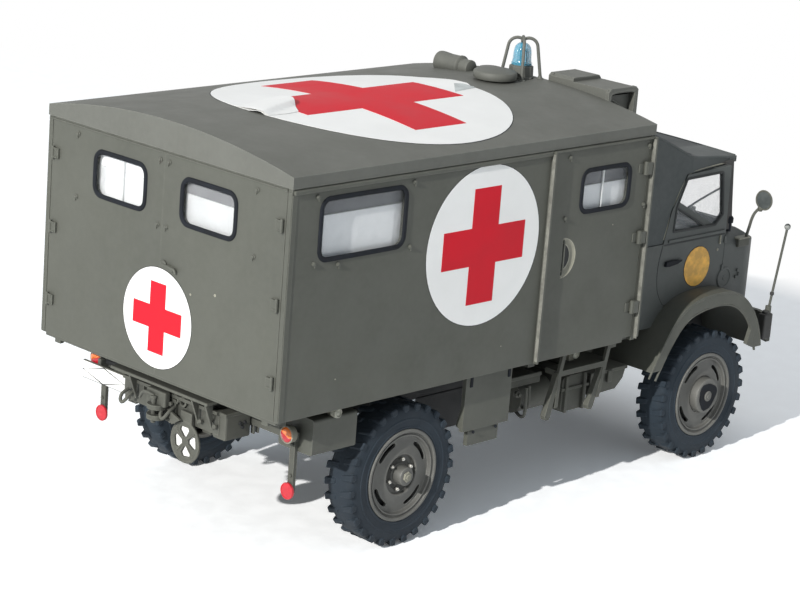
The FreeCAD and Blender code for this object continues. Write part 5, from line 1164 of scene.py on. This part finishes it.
piping = truckRod("softPiping", [(u, 0.12 - softSide(u), z - 0.1) for u, z in line], 0.27)
flap = truckBlock("softFlap", (89.6, -22.95, 55.2), (91.6, -22.5, 57.8), 0.15)
editPiece(flap)
selectFaces(flap, lambda at, normal: normal.z < -0.7)
bpy.ops.transform.resize(value=(0.5, 1, 1))
leaveEdit(flap)
ridge = truckRod("softRidge", [(76.4, -23.6, 59.75), (76.8, -16.0, 60.0), (77.0, 0.0, 60.15),
                               (76.8, 16.0, 60.0), (76.4, 23.6, 59.75)], 0.3)
edge = truckRod("softEdge", [(92.15, -22.3, 57.8), (92.15, -12, 58.2), (92.15, 0, 58.35), (92.15, 12, 58.2),
                             (92.15, 22.3, 57.8)], 0.28)
bothSides("softPiping", [piping, flap], canvasPaint)
finish(fused("softEdges", [ridge, edge]), canvasPaint)
weltLine = [(70.3, 44.2), (71.9, 49.8), (75.6, 56.45), (80.0, 56.75), (88.0, 56.85), (90.8, 56.85)]
welt = truckRod("softWelt", [(u, 0.12 - softSide(u), z) for u, z in weltLine], 0.2)
bothSides("softWelts", [welt], bareEdge)

# mirrors: a bent arm on its foot, glass and rim on the rear side of the disc, a low domed back
mirrorPlace = onTruck(95.4, -doorPlane - 3.7, 49.8)
rimRing = turned("mirrorRim", mirrorPlace, "-x",
                 [(1.95, -0.12), (2.0, 0.0), (1.95, 0.1), (1.75, 0.14), (1.68, 0.04), (0, 0.04)], 28)
back = turned("mirrorBack", (mirrorPlace[0] + 0.1, *mirrorPlace[1:]), "x",
              [(1.95, 0), (1.7, 0.14), (1.0, 0.26), (0, 0.3)], 28)
mount = truckBlock("mirrorFoot", (93.3, -24.8, 39.9), (96.8, -23.1, 41.5), 0.2, 2)
arm = truckRod("mirrorArm", [(96.0, -24.3, 41.2), (96.0, -24.5, 42.4), (95.7, -25.1, 44.0),
                             (95.4, -25.6, 45.6), (95.5, -26.2, 47.2), (95.7, -27.2, 48.2)], 0.3)
clamp = turned("mirrorClamp", onTruck(95.7, -27.1, 47.9), "z",
               [(0.4, -0.5), (0.5, -0.3), (0.5, 0.4), (0, 0.5)], 10)
bothSides("mirrorRims", [rimRing, back, mount, arm, clamp], framePaint, replaces=["mirrors"])
glass = turned("mirrorGlass", (mirrorPlace[0] - 0.03, *mirrorPlace[1:]), "-x",
               [(1.66, 0), (1.66, 0.04), (0, 0.06)], 28)
bothSides("mirrorGlasses", [glass], mirrorGrey)

# marker poles: pale balls on top, and a collar, a cap and a dark box at the foot
ball = turned("poleBall", onTruck(105.54, -27.1, 43.05), "z",
              [(0.2, -0.62), (0.45, -0.45), (0.62, -0.15), (0.64, 0.1), (0.45, 0.45), (0.2, 0.6), (0, 0.62)],
              14)
bothSides("poleBalls", [ball], innerGrey)
poleBox = truckBlock("poleBox", (102.3, -26.6, 20.2), (105.0, -24.9, 25.4), 0.3, 2)
collar = turned("poleCollar", onTruck(104.55, -26.0, 29.0), "z",
                [(0.3, 0), (0.42, 0.1), (0.42, 0.6), (0.3, 0.7), (0, 0.7)], 10)
cap = turned("poleCap", onTruck(103.6, -25.7, 25.2), "z", [(0.75, 0), (0.75, 0.5), (0.5, 0.8), (0, 0.8)], 12)
bothSides("poleFeet", [poleBox, collar, cap], seatBlack)

# worn outer lip along each fender's arch
arch = [(-19.0, 6.6), (-17.4, 9.4), (-15.0, 13.3), (-11.6, 17.5), (-7.5, 19.7), (0.0, 20.6), (5.5, 20.0),
        (9.6, 17.8), (12.7, 14.6), (14.7, 11.0), (15.6, 8.0)]
fenderSide = -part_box("front_fenders")[0][1] / mm


def archLine(reach, side):
    scale = (tyreRadius + reach) / 19.6
    return [(frontAxle + u * scale, side, tyreRadius + z * scale) for u, z in arch]


outerLip = wireRod("fenderBead", archLine(6.9 - 0.18, 0.12 - fenderSide), 0.2)
bothSides("fenderBeads", [outerLip], framePaint)
lipEdge = wireRod("fenderLip", archLine(6.9 - 2.3, 0.2 - fenderSide), 0.24)
bothSides("fenderLips", [lipEdge], framePaint)

# grey linings seen through the windows, and the wiper arms and headlamp rims at the front
lining = cabBlock("doorLining", (71.6, 32.6), (88.4, 43.2), (-1.25, -0.95), 0.1)
pull = cabBlock("doorPull", (76.0, 40.2), (82.0, 40.9), (-1.6, -1.1), 0.15, 2)
bothSides("doorLinings", [lining, pull], innerGrey)
lampPlace = onTruck(104.6, -13.2, 32.0)
lampRim = turned("lampRim", lampPlace, "x",
                 [(2.5, -1.4), (2.6, 0.0), (2.6, 0.25), (2.4, 0.35), (2.3, 0.2), (2.3, -0.3), (2.2, -1.4)],
                 32, loop=True)
bothSides("headlampRims", [lampRim], olivePaint)
wiper = truckRod("wiper", [(93.4, -11.0, 44.4), (93.2, -13.7, 46.8), (92.6, -20.2, 51.2)], 0.22)
bothSides("wipers", [wiper], innerGrey)
print("cab trims made")


# blank number plate on the left, its holder, and the box and slot beside it
finish(truckBlock("plateBlank", (-26.2, 15.1, 20.05), (-25.95, 26.5, 23.05), 0.1), decalWhite)
plateLoop = [(-26.2, 15.12, 20.07), (-26.2, 26.48, 20.07), (-26.2, 26.48, 23.03), (-26.2, 15.12, 23.03)]
finish(truckRod("plateEdge", plateLoop, 0.1, 1, closed=True), jointDark)
plateBits = [truckBlock("plateBack", (-26.1, 14.95, 19.9), (-25.6, 26.65, 23.2), 0.12),
             truckBlock("plateArm", (-25.7, 15.6, 20.6), (-23.4, 16.6, 24.2), 0.15),
             truckBlock("plateArm", (-25.7, 22.4, 20.6), (-23.4, 23.2, 24.2), 0.15),
             truckBlock("plateBox", (-26.6, 10.4, 19.6), (-23.6, 14.3, 24.3), 0.35, 2),
             truckBlock("plateBoxLid", (-26.8, 10.2, 23.9), (-23.4, 14.5, 24.6), 0.15),
             truckBlock("slotFrame", (-25.2, 14.8, 24.5), (-23.4, 23.8, 24.9), 0.1)]
finish(fused("plateHolder", plateBits), framePaint)
# the slot is near-black: painted shade inside it
finish(truckBlock("plateSlot", (-24.4, 15.0, 23.2), (-24.0, 23.6, 24.6), 0.05), darkHole)

# two-tone rear lamps: a pale rim, orange above and red below; the hanging reflectors
lampAt = onTruck(-24.95, -24.5, 23.7)
carrier = turned("lampBody", lampAt, "-x",
                 [(1.2, -1.25), (1.42, -1.1), (1.5, -0.1), (1.5, 0.1), (1.36, 0.2), (1.28, 0.05), (0, 0.05)],
                 32)
bothSides("rearLampBodies", [carrier], bareEdge, ["rear_lamps"])


def halfLens(name, tilt, keep):
    lens = turned(name, lampAt, "-x", [(1.28, -0.1), (1.28, 0.12), (1.1, 0.3), (0.7, 0.42), (0, 0.46)], 32)
    editPiece(lens)
    selectAll()
    across = (0, math.sin(tilt) * keep, math.cos(tilt) * keep)
    bpy.ops.mesh.bisect(plane_co=Vector(lampAt) * mm, plane_no=across, use_fill=True, clear_outer=True)
    return leaveEdit(lens)


bothSides("rearLampsOrange", [halfLens("lensUpper", -0.35, -1)], lampOrange)
bothSides("rearLampsRed", [halfLens("lensLower", -0.35, 1)], lampRed)
reflector = turned("reflector", onTruck(-23.6, -24.0, 13.5), "-x",
                   [(1.1, -0.4), (1.42, -0.3), (1.46, 0.0), (1.4, 0.12), (1.24, 0.14), (1.2, 0.06),
                    (0.6, 0.12), (0, 0.14)], 28)
bothSides("reflectorDiscs", [reflector], reflectorRed, ["reflectors"])
screws = [turned("lampScrew", onTruck(-23.15, -24.8 + y, z), "-x",
                 [(0.3, 0), (0.3, 0.3), (0.2, 0.38), (0, 0.38)], 6) for y,
          z in ((0.5, 16.2), (0.5, 21.6), (3.5, 23.2))]
bothSides("lampScrews", screws, framePaint)

# the footstep: an oval plate with four large holes and a rolled edge, hung on its strap
stepPlace = dict(y=-6.1, low=14.6, high=21.6, half=3.4, holeInner=0.85, holeOuter=2.75, holeTurn=27, turn=8)


def makeStepPlate(s):
    outline = []
    for centre, start in ((s["low"] + s["half"], 180), (s["high"] - s["half"], 0)):
        for step in range(19):
            turn = math.radians(start + step * 10)
            outline.append((s["y"] + s["half"] * math.cos(turn), centre + s["half"] * math.sin(turn)))
    plate = outlinePlate("stepPlate", outline, 0.55, "yz", rearAxle - 30.6)
    middle = s["low"] + s["half"] + 0.2
    cutters = []
    for step in range(4):
        corners = []
        for radius, share in ((s["holeInner"], 0.8), (s["holeOuter"] - 0.5, 1.15), (s["holeOuter"], 0.7),
                              (s["holeOuter"], -0.7), (s["holeOuter"] - 0.5, -1.15), (s["holeInner"], -0.8)):
            turn = math.radians(s["turn"] + 90 * step + s["holeTurn"] * share)
            corners.append((s["y"] + radius * math.sin(turn), middle + radius * math.cos(turn)))
        cutters.append(outlinePlate("stepHole", corners, 2.5, "yz", rearAxle - 31.5))
    cutter = fused("stepHoles", cutters)
    cutOut(plate, cutter)
    bevelEdges(plate, 0.07, 2)
    rim = truckRod("stepRim", [(-30.5, y, z) for y, z in outline], 0.2, 1, closed=True)
    strap = truckBlock("stepStrap", (-30.65, s["y"] - 1.4, 20.7), (-29.85, s["y"] + 1.4, 23.4), 0.12)
    ribs = [truckRod("stepRib", [(-30.62, s["y"] + a * 0.5, middle + b * 0.5),
                                 (-30.68, s["y"] + a * 1.3, middle + b * 1.3),
                                 (-30.6, s["y"] + a * 2.4, middle + b * 2.2)], 0.13)
            for a, b in ((1, 0.85), (-1, 0.85), (-0.85, -1), (0.85, -1))]
    # the pale disc seen through the holes
    backing = outlinePlate("stepBacking", discPoints(s["y"], middle, 2.95, 24), 0.1, "yz", rearAxle - 30.15,
                           0.03)
    finish(backing, decalWhite)
    return smooth(fused("stepPlate", [plate, rim, strap] + ribs), 30)


finish(makeStepPlate(stepPlace), framePaint, replaces=["rear_step"])

# on the cross member: hole bosses, bolts, gussets and the shackles either side of the jaw
crossBits = []
for y, z in ((4.6, 24.5), (-2.9, 24.7), (-4.8, 24.7), (-11.6, 24.2)):
    crossBits.append(turned("holeBoss", onTruck(-30.05, y, z), "-x",
                            [(0.9, 0), (0.86, 0.3), (0.55, 0.36), (0.52, 0.0), (0.9, 0)], 14, loop=True))
for y, z in ((8.6, 25.0), (8.6, 22.6), (-9.4, 22.7), (-13.0, 22.8), (2.7, 24.2), (-2.7, 21.0), (2.7, 21.0),
             (-2.5, 23.9)):
    crossBits.append(turned("crossBolt", onTruck(-30.3 - (0.6 if abs(y) < 3 else 0), y, z), "-x",
                            [(0.42, -0.1), (0.42, 0.25), (0.3, 0.36), (0, 0.36)], 6))
for y in (6.9, -9.0, -12.4):
    corners = [(rearAxle - 30.4, 22.1), (rearAxle - 32.2, 26.6), (rearAxle - 30.4, 26.6)]
    crossBits.append(outlinePlate("crossGusset", corners, 0.35, "xz", y, 0.06))
crossBits.append(truckBlock("crossChannel", (-32.6, -13.2, 26.65), (-30.2, 11.6, 27.15), 0.12))
crossBits.append(truckBlock("jawBlock", (-32.2, -2.4, 23.2), (-30.9, 2.4, 25.9), 0.3, 2))
crossBits.append(turned("jawPin", onTruck(-32.5, 0, 20.2), "z",
                        [(0.3, 0), (0.42, 0.1), (0.42, 4.3), (0.62, 4.4), (0.62, 4.8), (0, 4.85)], 14))
crossBits.append(truckRod("jawLever",
                          [(-32.5, 0, 24.9), (-32.6, 1.4, 25.3), (-32.3, 3.4, 24.8), (-32.0, 4.2, 23.4)],
                          0.25))
for y in (8.2, -2.2):
    crossBits.append(truckRod("shackle", [(-30.4, y + 0.7, 23.4), (-31.6, y + 0.9, 23.0),
                                          (-32.4, y + 0.7, 22.0), (-32.6, y, 21.4), (-32.4, y - 0.7, 22.0),
                                          (-31.6, y - 0.9, 23.0), (-30.4, y - 0.7, 23.4)], 0.3))
crossBits.append(outlinePlate("jawWedge", [(-2.4, 23.1), (-5.7, 22.0), (-3.6, 20.7)], 0.5, "yz",
                              rearAxle - 31.6, 0.08))
finish(fused("crossFittings", crossBits), framePaint)

# the box on the right rail end with its two dark bolts, and the bars beside it
finish(fused("railBox", [truckBlock("railBox", (-29.7, -14.9, 20.5), (-24.0, -11.7, 25.1), 0.35, 2),
                         truckBlock("railLid", (-29.9, -15.0, 24.7), (-23.8, -11.6, 25.3), 0.12),
                         truckBlock("railBar", (-23.6, -15.2, 20.8), (-23.2, -14.4, 24.2), 0.1),
                         truckBlock("railBar", (-22.6, -15.2, 20.8), (-22.2, -14.4, 24.2), 0.1)]), framePaint)
finish(fused("railBolts", [turned("railBolt", onTruck(u, -14.85, z), "-y",
                                  [(0.34, 0), (0.34, 0.3), (0.2, 0.36), (0, 0.36)], 8) for u,
                           z in ((-26.5, 23.2), (-25.5, 23.2), (-26.0, 22.5))]), darkHole)

# round dull side lamps on their brackets, dark tabs on the aprons
sideLamps, brackets = [], []
for u, y, z in ((-17.5, -27.6, 27.2), (45.6, -25.0, 26.4)):
    sideLamps.append(turned("sideLamp", onTruck(u, y, z), "-y",
                            [(0.86, 0), (0.9, 0.8), (0.82, 1.05), (0.64, 1.12), (0.55, 0.95), (0.3, 1.0),
                             (0.2, 1.12), (0, 1.14)], 24))
    brackets.append(truckBlock("lampBracket", (u - 0.7, y, z - 1.5), (u + 0.7, y + 0.9, z + 1.5), 0.12))
    brackets.append(truckBlock("lampBracket", (u - 0.5, y - 0.2, z + 0.9), (u + 0.5, y + 1.6, z + 1.9), 0.12))
bothSides("sideLamps", sideLamps, lampDull)
bothSides("sideLampBrackets", brackets, bareEdge)
tabs = [truckBlock("apronTab", (u, -28.55, z), (u + 0.7, -28.3, z + 1.9), 0.08) for u,
        z in ((14.6, 26.0), (24.3, 26.3))]
tabs += [turned("apronBolt", onTruck(u, -28.35, 17.6), "-y", [(0.3, 0), (0.3, 0.2), (0.2, 0.28), (0, 0.28)],
                6) for u in (16.4, 22.2)]
bothSides("apronTabs", tabs, sealRubber)

# near-black sheets inboard of the wheels, painted shade under the body, and the pipes and fittings under the
# body
sheets = [truckBlock("splashSheet", (-12.0, -16.9, 20.9), (27.6, -16.7, 28.4), 0.05),
          truckBlock("innerApron", (13.6, -16.9, 14.0), (27.6, -16.7, 21.2), 0.05),
          truckBlock("archSheet", (67.0, -14.9, 20.6), (99.0, -14.7, 33.6), 0.05)]
bothSides("splashSheets", sheets, darkHole)
runs = [((33.0, -25.6, 22.0), (33.0, -25.8, 18.0), (33.4, -25.2, 16.2), (35.0, -22.4, 15.6),
         (37.0, -19.0, 16.4)), ((34.4, -25.0, 22.0), (34.4, -25.2, 19.0), (34.8, -24.6, 17.4),
                                (36.2, -22.0, 16.8), (38.2, -19.0, 17.2)),
        ((30.8, -20.0, 24.6), (42.0, -20.0, 24.6), (52.0, -18.0, 24.4), (60.0, -17.4, 24.4)),
        ((-12.0, -15.6, 25.6), (4.0, -15.6, 25.9), (14.0, -15.6, 25.0), (30.0, -15.6, 22.6))]
pipes = [truckRod("pipe", run, 0.32 if index < 2 else 0.22) for index, run in enumerate(runs)]
bothSides("underPipes", pipes, framePaint)
bits = [turned("tankCap", onTruck(48.0, -22.0, 21.5), "z", [(1.0, 0), (1.0, 0.5), (0.8, 0.8), (0, 0.8)], 14),
        truckBlock("tankBand", (45.4, -24.65, 14.7), (46.1, -13.6, 21.8), 0.12),
        truckBlock("tankBand", (50.4, -24.65, 14.7), (51.1, -13.6, 21.8), 0.12),
        truckBlock("trayLip", (30.2, -24.35, 23.2), (38.4, -24.0, 23.9), 0.08),
        truckBlock("lockerHasp", (57.2, -24.75, 18.6), (58.4, -24.3, 20.9), 0.1),
        turned("valve", onTruck(31.6, -24.3, 20.8), "-y",
               [(0.6, 0), (0.6, 0.7), (0.35, 0.8), (0.35, 1.2), (0, 1.25)], 10),
        turned("drain", onTruck(36.6, -20.4, 15.9), "-z", [(0.5, 0), (0.5, 0.4), (0.3, 0.5), (0, 0.5)], 8)]
bothSides("underFittings", bits, framePaint)

# wound springs in place of the plain turned ones, with a damper inside each
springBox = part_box("coil_springs")
spring = dict(top=springBox[1][2] / mm, foot=tyreRadius + 4.8, sideways=12.9, radius=1.3, wire=0.3, turns=5.5,
              stepsPerTurn=8)


def makeSpring(centre, y, s):
    length = s["top"] - s["foot"]
    count = int(s["turns"] * s["stepsPerTurn"])
    coil = []
    for step in range(count + 1):
        turn = 2 * math.pi * step / s["stepsPerTurn"]
        coil.append((centre + s["radius"] * math.cos(turn), y + s["radius"] * math.sin(turn),
                     s["foot"] + s["wire"] + (length - 2 * s["wire"]) * step / count))
    damper = [(0.7, 0), (0.7, 2.6), (0.5, 2.7), (0.5, length + 0.1)]
    return [wireRod("coil", coil, s["wire"], 2),
            turned("damper", (centre, y, s["foot"] - 0.1), "z", damper, 14)]


springs = []
for centre in (rearAxle, frontAxle):
    for y in (-spring["sideways"], spring["sideways"]):
        springs += makeSpring(centre, y, spring)
finish(fused("woundSprings", springs), seatBlack, replaces=["coil_springs"])
print("rear gear and underbody made")


groundSettings = dict(size=6.0, colour=(0.93, 0.94, 0.95), seen=(1.40, 1.42, 1.45), grain=260)


def makeGround(s):
    freshStart()
    bpy.ops.mesh.primitive_plane_add(size=s["size"], location=(0, 0, -0.02 * mm))
    ground = settle(named("ground"))
    editPiece(ground)
    selectAll()
    bpy.ops.mesh.subdivide(number_cuts=3)
    leaveEdit(ground)
    material, tree, shader = newMaterial("paleGround")
    mottle = ramp(tree, patches(tree, s["grain"], 3), 0, [(0.4, 0.94), (0.62, 1.0)])
    tone = mixColours(tree, s["colour"], (mottle, 0), 1.0, "MULTIPLY")
    joinNodes(tree, *tone, shader, "Base Color")
    shader.inputs["Roughness"].default_value = 0.9
    # seen directly it is brighter than what it throws back on the truck
    bright = addNode(tree, "BsdfDiffuse")
    seenTone = mixColours(tree, s["seen"], (mottle, 0), 1.0, "MULTIPLY")
    joinNodes(tree, *seenTone, bright, "Color")
    direct = addNode(tree, "MixShader")
    joinNodes(tree, cameraRays(tree), 0, direct, 0)
    joinNodes(tree, shader, 0, direct, 1)
    joinNodes(tree, bright, 0, direct, 2)
    # painted light: a white glow mixed in along X lifts the shadow a little near the truck and makes it paler
    # ahead of the cab, and far away the ground is as white as the surround
    spots = addNode(tree, "TexCoord")
    parts = addNode(tree, "SeparateXYZ")
    joinNodes(tree, spots, "Object", parts, 0)
    fade = ramp(tree, parts, "X", [(0.045, 0.05), (0.178, 1.0), (0.080, 0.34), (0.160, 0.39)])
    white = addNode(tree, "Emission", Strength=1.0)
    mix = addNode(tree, "MixShader")
    seen = addNode(tree, "Math", operation="MULTIPLY")
    joinNodes(tree, fade, 0, seen, 0)
    joinNodes(tree, cameraRays(tree), 0, seen, 1)
    joinNodes(tree, seen, 0, mix, 0)
    joinNodes(tree, direct, 0, mix, 1)
    joinNodes(tree, white, 0, mix, 2)
    joinNodes(tree, mix, 0, tree.nodes["Material Output"], 0)
    ground.data.materials.append(material)


makeGround(groundSettings)
print("pieces made", len(pieces))
